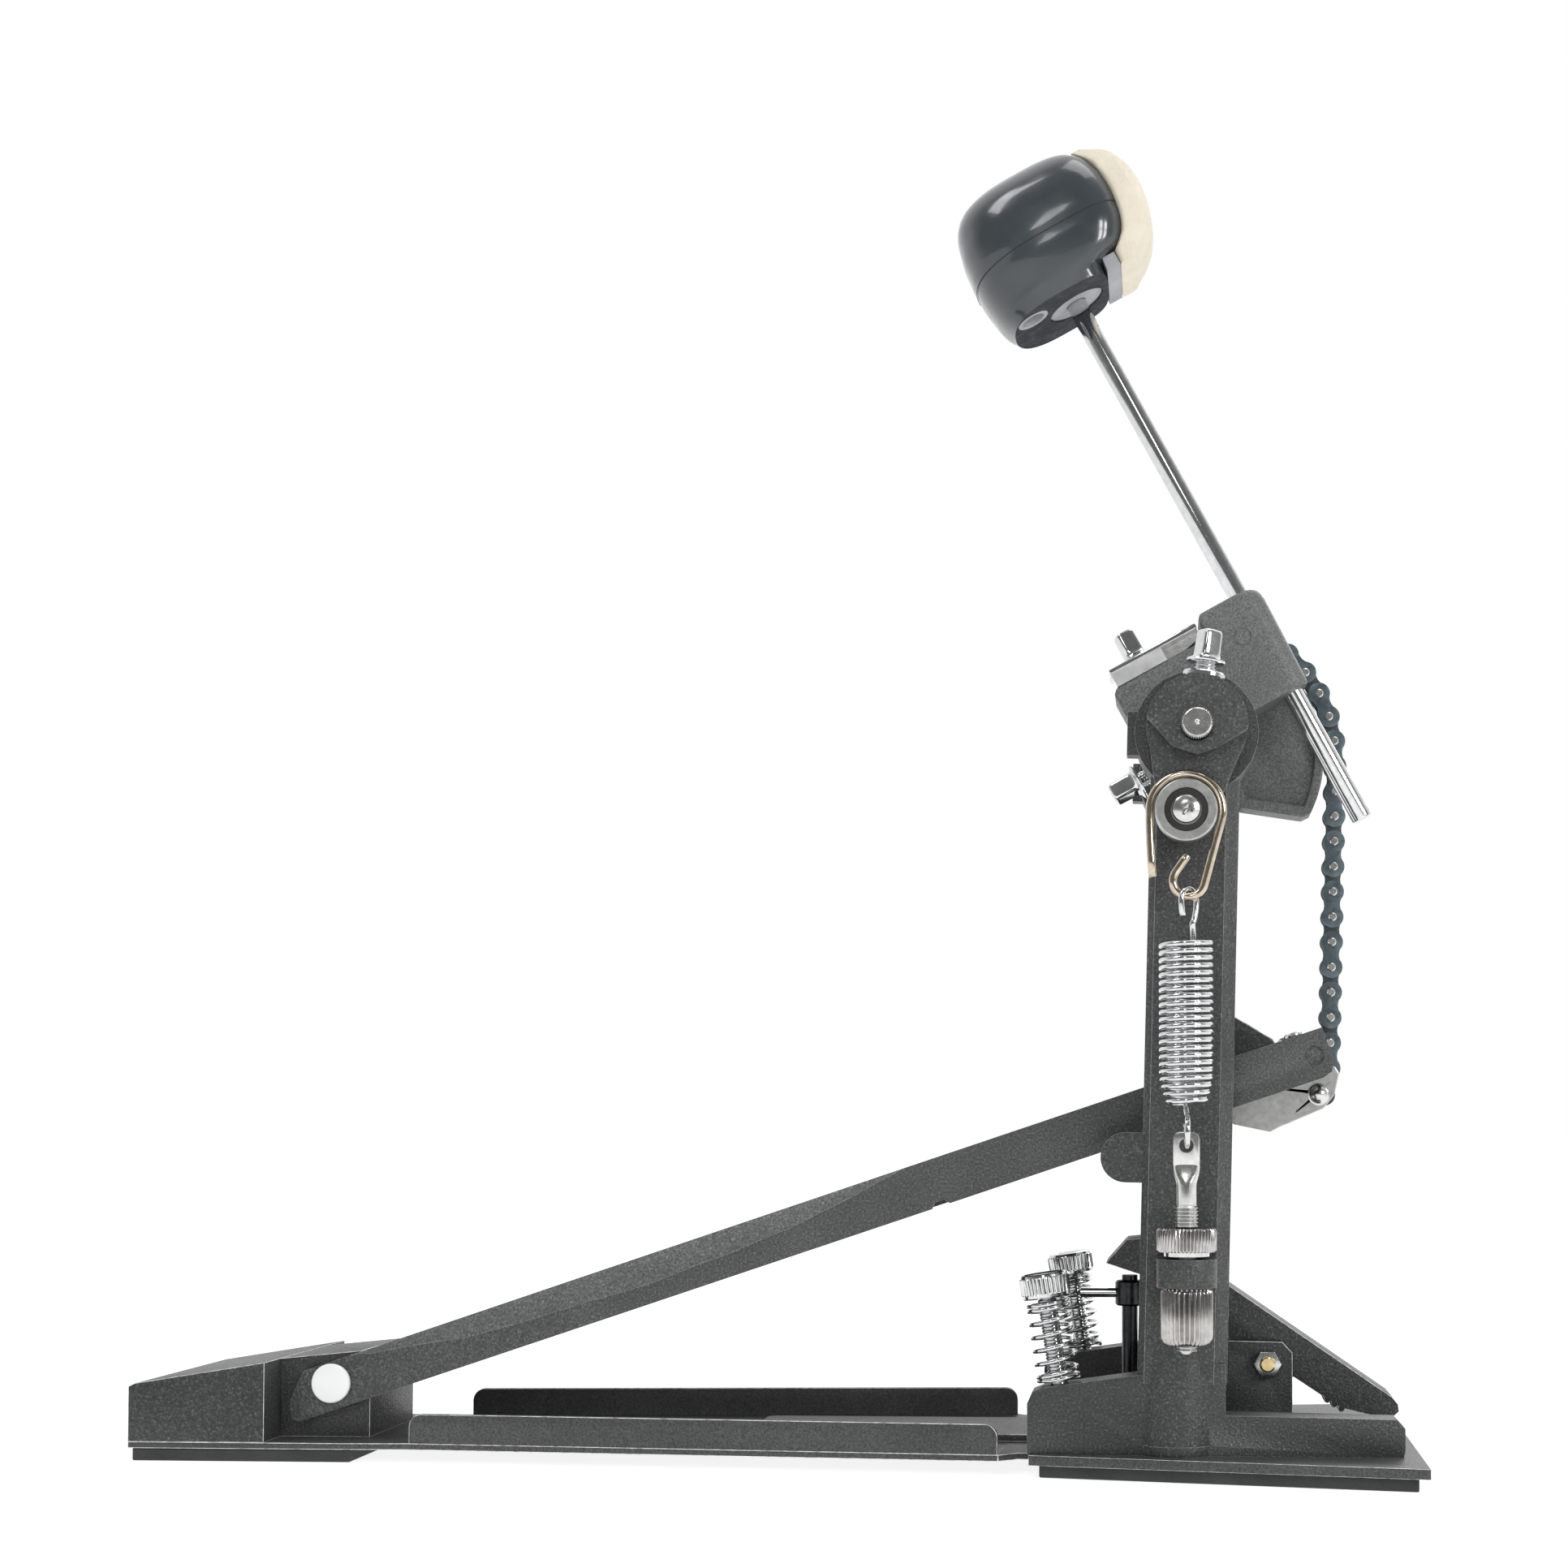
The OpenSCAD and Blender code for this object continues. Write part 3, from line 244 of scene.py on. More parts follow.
M = {
    # The last number given to painted() sets the strength of its painted highlights on the grain's peaks
    "powder_black": painted("PowderBlack", (0.033, 0.034, 0.035), (0.050, 0.051, 0.052),
                            0.40, 1500, 0.00020, 0.34),
    "sheet_black": painted("SheetBlack", (0.046, 0.047, 0.048), (0.066, 0.067, 0.068),
                           0.44, 1700, 0.00006, 0.05),
    "cast_black": painted("CastBlack", (0.096, 0.098, 0.099), (0.122, 0.124, 0.125),
                          0.45, 2100, 0.00003, 0.08),
    "board_black": painted("BoardBlack", (0.048, 0.049, 0.050), (0.072, 0.073, 0.073),
                           0.46, 1500, 0.00016, 0.22),
    # A lighter copy of the board's black for its facets that face up: painted light from above
    "facet_painted_lit": painted("FacetBlackPaintedLit", (0.085, 0.087, 0.088), (0.115, 0.117, 0.118),
                           0.42, 1500, 0.00012, 0.2),
    "edge": edge_wear_and_highlight("EdgeWearAndHighlight"),
    "rubber_black": rubber("PadRubber"),
    "chrome": metal("ChromePlate", (0.60, 0.61, 0.62), (0.74, 0.74, 0.74), 0.11),
    "satin_chrome": metal("SatinChrome", (0.62, 0.63, 0.63), (0.74, 0.74, 0.73), 0.42),
    "knurl_chrome": metal("KnurledChrome", (0.40, 0.39, 0.38), (0.56, 0.55, 0.53), 0.16),
    "steel": metal("BrushedSteel", (0.42, 0.43, 0.42), (0.60, 0.60, 0.58), 0.33, (1, 1, 14), 0.00002),
    "bright_steel": metal("BrightSteel", (0.58, 0.58, 0.57), (0.72, 0.72, 0.70), 0.22, (14, 1, 1), 0.00001),
    "oxide": metal("BlackOxide", (0.030, 0.031, 0.034), (0.060, 0.062, 0.066), 0.30),
    "nickel": metal("NickelWire", (0.52, 0.44, 0.34), (0.70, 0.62, 0.51), 0.13),
    "brass": metal("BrassThread", (0.62, 0.48, 0.24), (0.78, 0.64, 0.36), 0.25),
    "chain_blue": metal("ChainPlate", (0.100, 0.130, 0.145), (0.160, 0.195, 0.210),
                        0.38, (1, 12, 1), 0.00001),
    "chain_dark": metal("ChainInnerPlate", (0.075, 0.085, 0.092), (0.115, 0.125, 0.132),
                        0.40, (1, 12, 1), 0.00001),
    "cap_white": gloss_plastic("WhiteCap", (0.80, 0.81, 0.81), (0.88, 0.88, 0.88), 0.16, 0.4),
    "shell_black": gloss_plastic("ShellBlack", (0.026, 0.032, 0.037), (0.040, 0.048, 0.054), 0.16, 0.5),
    # Matte and darker, for the shell's underside; the darker colour is painted shade
    "shell_underside_shade": gloss_plastic("ShellUndersideShade", (0.012, 0.015, 0.021), (0.018, 0.022, 0.029), 0.7, 0.0),
    "insert_grey": gloss_plastic("InsertGrey", (0.26, 0.27, 0.29), (0.34, 0.35, 0.37), 0.42, 0.0),
    "seal_black": gloss_plastic("SealBlack", (0.010, 0.010, 0.011), (0.018, 0.018, 0.019), 0.5, 0.0),
    "felt_cream": felt("CreamFelt"),
}


# ---------------------------------------------------------------- mesh tools

def prism(points, y0, y1):
    """An X-Z outline made solid between two values of Y."""
    bm = bmesh.new()
    near = [bm.verts.new((x, y0, z)) for x, z in points]
    far = [bm.verts.new((x, y1, z)) for x, z in points]
    bm.faces.new(near)
    bm.faces.new(list(reversed(far)))
    n = len(points)
    for i in range(n):
        j = (i + 1) % n
        bm.faces.new((near[j], near[i], far[i], far[j]))
    bmesh.ops.recalc_face_normals(bm, faces=bm.faces)
    return bm


def turned_ring(bm, r, h, sides, shape):
    """One ring of a lathe; a ring of no radius is a single point."""
    if r < 1e-6:
        return [bm.verts.new((0, 0, h))]
    ring = []
    for i in range(sides):
        a = 2 * math.pi * i / sides
        rr = shape(a, r, h) if shape else r
        ring.append(bm.verts.new((rr * math.cos(a), rr * math.sin(a), h)))
    return ring


def lathe(profile, sides=48, shape=None):
    """A profile of (radius, height) turned about Z. shape(angle, radius, height) may change the radius."""
    bm = bmesh.new()
    rings = [turned_ring(bm, r, h, sides, shape) for r, h in profile]
    for low, high in zip(rings, rings[1:]):
        for i in range(sides):
            j = (i + 1) % sides
            a, b = low[i % len(low)], low[j % len(low)]
            c, d = high[j % len(high)], high[i % len(high)]
            corners = [v for k, v in enumerate((a, b, c, d)) if v not in (a, b, c, d)[:k]]
            if len(corners) > 2:
                bm.faces.new(corners)
    for ring, first in ((rings[0], True), (rings[-1], False)):
        if len(ring) > 1:
            bm.faces.new(list(reversed(ring)) if first else ring)
    bmesh.ops.recalc_face_normals(bm, faces=bm.faces)
    return bm


def ring_lathe(profile, sides=48, shape=None):
    """As lathe, but the profile is a closed loop round a hole."""
    bm = bmesh.new()
    rings = [turned_ring(bm, r, h, sides, shape) for r, h in profile]
    count = len(rings)
    for k in range(count):
        low, high = rings[k], rings[(k + 1) % count]
        for i in range(sides):
            j = (i + 1) % sides
            bm.faces.new((low[i], low[j], high[j], high[i]))
    bmesh.ops.recalc_face_normals(bm, faces=bm.faces)
    return bm


def tube(path, radius, sides=14, rounded=True):
    """A wire along a list of points, with a small rounded end."""
    points = [Vector(p) for p in path]
    tangents = []
    for i, p in enumerate(points):
        before, after = points[max(i - 1, 0)], points[min(i + 1, len(points) - 1)]
        tangents.append((after - before).normalized())
    normal = tangents[0].orthogonal().normalized()
    bm = bmesh.new()
    rings = []

    def ring_at(p, t, n, r):
        side = t.cross(n)
        return [bm.verts.new(p + r * (math.cos(a) * n + math.sin(a) * side))
                for a in (2 * math.pi * k / sides for k in range(sides))]

    for i, (p, t) in enumerate(zip(points, tangents)):
        normal = (normal - normal.dot(t) * t).normalized()
        if i == 0 and rounded:
            rings.append(ring_at(p, t, normal, radius * 0.72))
            rings.append(ring_at(p + t * radius * 0.28, t, normal, radius))
        elif i == len(points) - 1 and rounded:
            rings.append(ring_at(p - t * radius * 0.28, t, normal, radius))
            rings.append(ring_at(p, t, normal, radius * 0.72))
        else:
            rings.append(ring_at(p, t, normal, radius))
    for low, high in zip(rings, rings[1:]):
        for k in range(sides):
            j = (k + 1) % sides
            bm.faces.new((low[k], low[j], high[j], high[k]))
    bm.faces.new(list(reversed(rings[0])))
    bm.faces.new(rings[-1])
    bmesh.ops.recalc_face_normals(bm, faces=bm.faces)
    return bm


def cylinder(r, z0, z1, x=0, y=0, sides=32):
    """A plain upright cylinder, for a pin or for the tool of a bore."""
    return moved(lathe([(0, z0), (r, z0), (r, z1), (0, z1)], sides), Matrix.Translation((x, y, 0)))


def block(x0, x1, y0, y1, z0, z1):
    return prism([(x0, z0), (x1, z0), (x1, z1), (x0, z1)], y0, y1)


def moved(bm, matrix):
    bm.transform(matrix)
    return bm


def to_mesh(bm, name="scratch"):
    mesh = bpy.data.meshes.new(name)
    bm.to_mesh(mesh)
    bm.free()
    return mesh


def cut(bm, *tools):
    """bm with the tools taken out of it."""
    whole = bpy.data.objects.new("scratch", to_mesh(bm))
    bpy.context.collection.objects.link(whole)
    spare = [whole]
    for tool in tools:
        other = bpy.data.objects.new("scratch_tool", to_mesh(tool))
        bpy.context.collection.objects.link(other)
        spare.append(other)
        modifier = whole.modifiers.new("cut", "BOOLEAN")
        modifier.operation = "DIFFERENCE"
        modifier.solver = "EXACT"
        modifier.object = other
    graph = bpy.context.evaluated_depsgraph_get()
    mesh = bpy.data.meshes.new_from_object(whole.evaluated_get(graph))
    result = bmesh.new()
    result.from_mesh(mesh)
    bpy.data.meshes.remove(mesh)
    for obj in spare:
        mesh = obj.data
        bpy.data.objects.remove(obj)
        bpy.data.meshes.remove(mesh)
    return result


def bevelled(bm, width, segments=2, angle=30):
    """Rounds the edges sharper than an angle."""
    sharp = [e for e in bm.edges if len(e.link_faces) == 2
             and e.calc_face_angle(0) > math.radians(angle)]
    bmesh.ops.bevel(bm, geom=sharp, offset=width, segments=segments, profile=0.6,
                    affect="EDGES", clamp_overlap=True)
    return bm


def piece(name, parts, body, replaces=(), angle=32, ride=True):
    """Joins (bmesh, material name) parts into one named object that rides on a body."""
    mesh = bpy.data.meshes.new(name)
    joined = bmesh.new()
    names = []
    for bm, material in parts:
        if material not in names:
            names.append(material)
        for face in bm.faces:
            face.material_index = names.index(material)
        part = to_mesh(bm)
        joined.from_mesh(part)
        bpy.data.meshes.remove(part)
    joined.transform(Matrix.Scale(MM, 4))
    joined.to_mesh(mesh)
    joined.free()
    mesh.shade_smooth()
    mesh.set_sharp_from_angle(angle=math.radians(angle))
    for material in names:
        mesh.materials.append(M[material])
    obj = bpy.data.objects.new(name, mesh)
    bpy.context.collection.objects.link(obj)
    if ride:
        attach(obj, body)
    if replaces:
        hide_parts(*replaces)
    return obj


def rounded_section(x0, x1, half, left_power, right_power, count=72):
    """A closed plan outline from x0 to x1, its two ends rounded by their own powers."""
    mid = (x0 + x1) / 2
    out = []
    for i in range(count):
        a = 2 * math.pi * i / count
        power = right_power if math.cos(a) > 0 else left_power
        c, s = math.cos(a), math.sin(a)
        x = math.copysign(abs(c) ** (2 / power), c)
        y = math.copysign(abs(s) ** (2 / power), s)
        out.append((mid + x * (x1 - mid if x > 0 else mid - x0), half * y))
    return out


def stacked(levels, sections):
    """Skins closed outlines of equal length stacked in z."""
    bm = bmesh.new()
    rings = [[bm.verts.new((x, y, z)) for x, y in section] for z, section in zip(levels, sections)]
    n = len(rings[0])
    for low, high in zip(rings, rings[1:]):
        for i in range(n):
            j = (i + 1) % n
            bm.faces.new((low[i], low[j], high[j], high[i]))
    bm.faces.new(list(reversed(rings[0])))
    bm.faces.new(rings[-1])
    bmesh.ops.recalc_face_normals(bm, faces=bm.faces)
    return bm


def arc(cx, cz, r, a0, a1, steps):
    """Points on a circle in the X-Z plane, angles in degrees."""
    out = []
    for i in range(steps + 1):
        a = math.radians(a0 + (a1 - a0) * i / steps)
        out.append((cx + r * math.cos(a), cz + r * math.sin(a)))
    return out


# ---------------------------------------------------------------- CAD nodes that stay

def finish_node(node, material, width=0.5):
    """Gives a CAD node its material and small rounded edges."""
    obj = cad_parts[node]
    obj.data.materials.clear()
    obj.data.materials.append(M[material])
    weld = obj.modifiers.new("weld", "WELD")
    weld.merge_threshold = 0.00001
    if width:
        bevel = obj.modifiers.new("bevel", "BEVEL")
        bevel.limit_method = "ANGLE"
        bevel.angle_limit = math.radians(35)
        bevel.width = width * MM
        bevel.segments = 2
        bevel.harden_normals = False
    return obj


KEPT = {
    "cast_black": {"clamp_bridge": 0.6, "cam": 0.6},
    "rubber_black": {"heel_pad": 0.5, "front_pad": 0.5, "hoop_pad": 0.3, "heel_bushes": 0},
    "chrome": {"axle_collar": 0.5},
    "steel": {
        "heel_screws": 0, "pedestal_screws": 0, "near_bearing": 0, "far_bearing": 0,
        "shaft_screw": 0, "toe_bracket": 0.3,
    },
    "oxide": {"clamp_screw": 0},
    "insert_grey": {"head_spacer": 0.2, "head_insert": 0.25, "head_screw": 0.25},
}
for material, nodes in KEPT.items():
    for node, width in nodes.items():
        finish_node(node, material, width)


def cad_copy(node, joined=True):
    """A CAD node's mesh as a bmesh in millimetres, in the row frame, flat faces joined if asked."""
    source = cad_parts[node]
    bm = bmesh.new()
    bm.from_mesh(source.data)
    bm.transform(Matrix.Scale(1 / MM, 4) @ source.matrix_world)
    bmesh.ops.remove_doubles(bm, verts=bm.verts, dist=0.005)
    if joined:
        join_flat(bm)
    return bm


def join_flat(bm):
    """Joins the triangles of each flat face."""
    bmesh.ops.dissolve_limit(bm, angle_limit=math.radians(0.6), verts=bm.verts, edges=bm.edges)
    return bm


def bright_edged(name, node, body, material, width, bm=None, least=32, painted_light=None):
    """A copy of a CAD node whose outer edges, sharper than least degrees, get a thin bright line, partly wear
    and partly a painted highlight; the last argument picks out faces painted lighter, as painted light from
    above."""
    bm = bm or cad_copy(node)
    outer = [e for e in bm.edges if len(e.link_faces) == 2
             and e.calc_face_angle_signed(0) > math.radians(least)]
    # Faces picked out get the lighter copy, which paints the light they catch from above
    for face in bm.faces:
        face.material_index = 2 if painted_light and painted_light(face.normal) else 0
    done = bmesh.ops.bevel(bm, geom=outer, offset=width, segments=2, profile=0.5, affect="EDGES",
                           clamp_overlap=True)
    for face in done["faces"]:
        face.material_index = 1
    mesh = bpy.data.meshes.new(name)
    bm.transform(Matrix.Scale(MM, 4))
    bm.to_mesh(mesh)
    bm.free()
    mesh.shade_smooth()
    mesh.set_sharp_from_angle(angle=math.radians(28))
    for key in (material, "edge", "facet_painted_lit"):
        mesh.materials.append(M[key])
    obj = bpy.data.objects.new(name, mesh)
    bpy.context.collection.objects.link(obj)
    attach(obj, body)
    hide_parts(node)
    return obj


for name, node, body, material, width in (
        ("BasePlate", "base_plate", "base", "sheet_black", 0.3),
        ("TonguePlate", "tongue_plate", "base", "sheet_black", 0.3),
        ("FrontPlate", "front_plate", "base", "sheet_black", 0.35),
        ("HeelBlock", "heel_block", "base", "powder_black", 0.4),
        ("NearPedestal", "near_pedestal", "base", "powder_black", 0.35),
        ("FarPedestal", "far_pedestal", "base", "powder_black", 0.35),
        ("ClampBracket", "clamp_bracket", "base", "powder_black", 0.3),
        ("JawLever", "jaw_lever", "jaw", "powder_black", 0.4),
        ("RockerArm", "rocker_arm", "rocker", "powder_black", 0.35),
        ("ToeStop", "toe_stop", "footboard", "powder_black", 0.35)):
    bright_edged(name, node, body, material, width)


# Footboard: long facets taken off both top edges, deepest in the middle
FACET = [(5, 0.02), (14, 1.5), (26, 2.9), (47, 6.2), (75, 7.4), (89, 7.6), (111, 8.3), (132, 7.6),
         (153, 6.2), (175, 3.2), (193, 0.02)]
BOARD_TOP, EAR_HALF, BOARD_HALF = 6.4, 27.0, 38.0
EAR_END, FLARE = 12, 78  # where the ears end, and the length over which the board widens


def facet_tool(side):
    """A wedge along one top edge, its depth taken from FACET's (distance from the hinge, depth)."""
    sections = []
    for u, deep in FACET:
        half = EAR_HALF + (BOARD_HALF - EAR_HALF) * min(1, max(0, (u - EAR_END) / FLARE))
        inset = min(3.4, 0.5 * deep)
        y0, w0 = half + 0.4 * inset, BOARD_TOP - 1.4 * deep
        y1, w1 = half - 1.4 * inset, BOARD_TOP + 0.4 * deep
        sections.append([(w0, side * y0), (w0, side * (half + 9)), (w1 + 0.5, side * (half + 9)),
                         (w1 + 0.5, side * (y1 - 0.2 * inset))])
    tool = stacked([u for u, _ in FACET], sections)
    turn = Matrix(((0, 0, 1, 0), (0, 1, 0, 0), (1, 0, 0, 0), (0, 0, 0, 1)))
    tool.transform(BOARD @ turn)
    bmesh.ops.recalc_face_normals(tool, faces=tool.faces)
    if tool.calc_volume(signed=True) < 0:
        bmesh.ops.reverse_faces(tool, faces=tool.faces)
    return tool


# The facets facing up and sideways are painted lighter, as painted light from above
bright_edged("Footboard", "footboard", "footboard", "board_black", 0.3,
             bm=join_flat(cut(cad_copy("footboard", False), facet_tool(-1), facet_tool(1))), least=14,
             painted_light=lambda n: 0.5 < abs(n.y) < 0.97 and n.dot(BOARD.col[2].to_3d()) > 0.2)


# ---------------------------------------------------------------- threads, knurls, bolts

def thread_profile(r, z0, z1, pitch=1.0, depth=0.45):
    """A lathe profile with a groove at each pitch, which stands for a screw thread."""
    out = [(0, z0), (r - depth - 0.4, z0), (r - depth, z0 + 0.4)]
    z = z0 + 0.4
    while z + pitch < z1 - 0.2:
        out += [(r - depth, z), (r, z + pitch * 0.45), (r, z + pitch * 0.6), (r - depth, z + pitch)]
        z += pitch
    return out + [(r - depth, z1 - 0.4), (r - depth - 0.4, z1), (0, z1)]


def ridges(count, depth, z0, z1, power=1.0):
    """A radius change with upright ridges between two heights."""
    def shape(a, r, h):
        if h < z0 or h > z1:
            return r
        wave = 0.5 + 0.5 * math.cos(count * a)
        return r - depth * (1 - wave ** power)
    return shape


def key_bolt(stem, turn=0.0, neck_r=2.5, neck=0.0):
    """A drum key bolt along +Z, its flange's underside at z = 0: domed flange, rounded square head."""
    flange = lathe([(0, 0), (5.3, 0), (5.65, 0.2), (5.8, 0.55), (5.65, 0.9), (5.1, 1.25), (4.2, 1.6),
                    (0, 1.7)], 64)
    levels = [1.2, 1.6, 2.1, 2.8, 3.8, 8.6, 9.2, 9.6, 9.85, 9.9]
    halves = [4.5, 3.9, 3.5, 3.25, 3.12, 3.05, 2.95, 2.7, 2.2, 1.6]
    powers = [2.3, 2.7, 3.4, 4.4, 5.5, 5.5, 5.0, 4.2, 3.4, 3.0]
    head = stacked(levels, [rounded_section(-h, h, h, p, p, 64) for h, p in zip(halves, powers)])
    head = moved(head, Matrix.Rotation(math.radians(turn), 4, "Z"))
    rod = lathe(thread_profile(2.5, -stem, 0.2, 0.8, 0.3), 32)
    parts = [(flange, "chrome"), (head, "chrome"), (rod, "chrome")]
    if neck:
        parts.append((lathe(thread_profile(neck_r, -neck, 0.2, 0.9, 0.35), 40), "chrome"))
    return parts


def place(parts, matrix):
    return [(moved(bm, matrix), material) for bm, material in parts]


arm_screw = Matrix.Translation((0, -68, AXLE_Z)) @ Matrix.Rotation(math.radians(8), 4, "Y") \
    @ Matrix.Translation((0, 0, 19))
seat = ring_lathe([(2.6, -4.4), (6.0, -4.4), (6.25, -4.1), (6.25, -3.1), (5.9, -2.7), (2.6, -2.7)], 64)
piece("ArmSetScrew", place(key_bolt(13.5, 33, 3.2, 3.4) + [(seat, "chrome")], arm_screw),
      "rocker", ["arm_set_screw"])
clamp_bolt = BEATER @ Matrix.Translation((CLAMP_X, SHAFT_Y, PLATE_TOP))
piece("ClampKeyBolt", place(key_bolt(24, 12), clamp_bolt), "rocker", ["clamp_bolt"])
hub_bolt = BEATER @ Matrix.Translation((-19.3, SHAFT_Y, 0.5)) @ Matrix.Rotation(math.radians(-90), 4, "Y")
piece("HubKeyBolt", place(key_bolt(13.6, 20), hub_bolt), "rocker", ["hub_screw"])

# Chrome plate under the clamp bolt: a folded sheet with a side lip and an inner lip set back
plate_parts = [
    prism([(-12, PLATE_LOW), (18.4, PLATE_LOW), (18.4, PLATE_TOP), (-12, PLATE_TOP)],
          SHAFT_Y - 10, SHAFT_Y + 8),
    prism([(-12, BLOCK_TOP), (5.6, BLOCK_TOP), (5.6, 32.9), (-12, 32.9)], SHAFT_Y - 10, SHAFT_Y - 8.5),
    prism([(5, 28.3), (12, 28.3), (18.2, 29.8), (18.2, 32.9), (5, 32.9)], SHAFT_Y - 8, SHAFT_Y - 6.6),
]
plate_bore = cylinder(2.7, 20, 60, CLAMP_X, SHAFT_Y)
plate_parts = [bevelled(part, 0.4, 3, 38) for part in plate_parts]
plate_parts[0] = cut(plate_parts[0], plate_bore)
# The inner lip, set back in the recess, takes the darker brushed steel: painted shade of the recess
piece("ClampPlate", place(list(zip(plate_parts, ("chrome", "satin_chrome", "steel"))), BEATER), "rocker",
      ["clamp_plate"], 35)


# Beater holder: a satin casting with soft corners and a broad round along its right edge
def holder_block():
    """The part on the axle, under the clamp plate."""
    outline = [(-14, 0), (-14, 26.6), (-12.4, BLOCK_TOP), (23, BLOCK_TOP), (23, 3.1), (19.8, 2.7), (12.8, 0)]
    outline += arc(0, 0, 13, 0, -180, 24)[1:-1]
    body = bevelled(prism(outline, SHAFT_Y - 9.9, SHAFT_Y + 9.9), 0.8, 3, 38)
    axle_bore = moved(cylinder(4.95, -60, 60, sides=64), ALONG_Y)
    bolt_bore = cylinder(2.7, 10, 60, CLAMP_X, SHAFT_Y)
    return cut(body, axle_bore, bolt_bore)


def holder_rail():
    """The part round the beater shaft, from levels of (height, right edge, half width)."""
    table = [(1.5, 40.2, 9.4), (2.1, 40.8, 9.9), (3.0, 41.0, 10), (10, 41.2, 10), (18, 41.4, 10),
             (26, 41.6, 10), (31, 41.7, 10), (33, 41.5, 10), (34.2, 41.0, 9.9), (35.1, 40.2, 9.7),
             (35.7, 39.2, 9.4), (36, 38, 8.9)]
    rings = []
    for z, right, half in table:
        left = 19.8 + max(0, z - 34.6) * 0.9
        rings.append([(x, SHAFT_Y + y) for x, y in rounded_section(left, right, half, 14, 3.4, 120)])
    rail = stacked([z for z, _, _ in table], rings)
    shaft_bore = cylinder(3.25, -20, 60, SHAFT_X, SHAFT_Y, 48)
    mark = ring_lathe([(2.35, -10.4), (2.75, -10.4), (2.75, -9.8), (2.35, -9.8)], 40)
    mark = moved(mark, Matrix.Translation((29.2, SHAFT_Y, 23.2)) @ ALONG_Y)
    return cut(rail, shaft_bore, mark)


holder_parts = [(holder_block(), "cast_black"), (holder_rail(), "cast_black")]
piece("BeaterHolder", place(holder_parts, BEATER), "rocker", ["beater_holder"], 35)

# Axle with a knurled near end
axle_near = lathe([(0, -79), (0.4, -78.7), (0.8, -79), (3.9, -79), (4.1, -78.85), (4.15, -78.3)]
                  + [(4.5, -78.2), (4.9, -77.9), (4.9, -73.2), (4.5, -72.8), (4.5, -72.2)]
                  + [(4.9, -72.0), (4.9, 60.4), (4.4, 60.9), (0, 60.9)],
                  252, ridges(42, 0.6, -78.25, -73.1, 1.2))
piece("Axle", place([(axle_near, "bright_steel")], Matrix.Translation((0, 0, AXLE_Z)) @ ALONG_Y),
      "rocker", ["axle"], 25)

# Roller: a small ball bearing with a rubber seal
at_roller = Matrix.Translation((ROLLER[0], SPRING[1], ROLLER[1])) @ ALONG_Y
race = ring_lathe([(6.4, -3), (8.6, -3), (9.1, -2.5), (9.1, 2.5), (8.6, 3), (6.4, 3)], 72)
seal = ring_lathe([(4.4, -2.6), (6.5, -2.6), (6.5, 2.6), (4.4, 2.6)], 72)
hub = ring_lathe([(2.56, -2.95), (4.3, -2.95), (4.5, -2.7), (4.5, 2.7), (4.3, 2.95), (2.56, 2.95)], 72)
piece("Roller", place([(race, "steel"), (seal, "seal_black"), (hub, "steel")], at_roller),
      "roller", ["roller"])
dome = lathe([(0, 17), (2.2, 17), (2.45, 16.7), (2.45, 0), (4.15, 0), (4.2, -0.5), (3.9, -1.35),
              (3.0, -1.95), (1.5, -2.2), (0, -2.25)], 48)
cross = [moved(bevelled(block(-2.1, 2.1, -0.42, 0.42, -3, -1.1), 0.15, 1), Matrix.Rotation(a, 4, "Z"))
         for a in (math.radians(25), math.radians(115))]
cross.append(lathe([(0, -0.9), (0.5, -1.1), (1.05, -3), (0, -3)], 16))
at_screw = Matrix.Translation((ROLLER[0], -77.1, ROLLER[1])) @ ALONG_Y
piece("RollerScrew", place([(cut(dome, *cross), "bright_steel")], at_screw), "rocker",
      ["roller_screw"])


# ---------------------------------------------------------------- wire hook

def in_plane(points, y):
    return [(x, y, z) for x, z in points]


def wire_hook_path():
    r, lean, turn, leg = 10.6, -15.0, 4.6, 19.6
    cx, cz = ROLLER
    top = arc(cx, cz, r, 180, lean, 34)
    down = (math.sin(math.radians(lean)), -math.cos(math.radians(lean)))
    x1, z1 = top[-1]
    x2, z2 = x1 + leg * down[0], z1 + leg * down[1]
    tx = x2 - turn * math.cos(math.radians(lean))
    tz = z2 - turn * math.sin(math.radians(lean))
    bend = arc(tx, tz, turn, lean, -215, 24)
    end = math.radians(-215)
    ex, ez = bend[-1]
    tail = [(ex + d * math.sin(end), ez - d * math.cos(end)) for d in (2, 4, 6)]
    left = [(cx - r + 0.9 * k / 4 * (k / 4), cz - 19.5 * k / 4) for k in (4, 3, 2, 1)]
    right = [(x1 + (x2 - x1) * k / 4, z1 + (z2 - z1) * k / 4) for k in (1, 2, 3)]
    return left + top + right + bend + tail


piece("WireHook", [(tube(in_plane(wire_hook_path(), SPRING[1]), 1.2, 20), "nickel")],
      "spring_hook", ["wire_hook"], 50)


# ---------------------------------------------------------------- springs

def helix(cx, cy, z0, z1, radius, turns, start=0.0, steps=36):
    """radius may be a function of the share of the height."""
    out = []
    n = int(turns * steps)
    for i in range(n + 1):
        t = i / n
        a = start + 2 * math.pi * turns * t
        r = radius(t) if callable(radius) else radius
        out.append((cx + r * math.cos(a), cy + r * math.sin(a), z0 + (z1 - z0) * t))
    return out


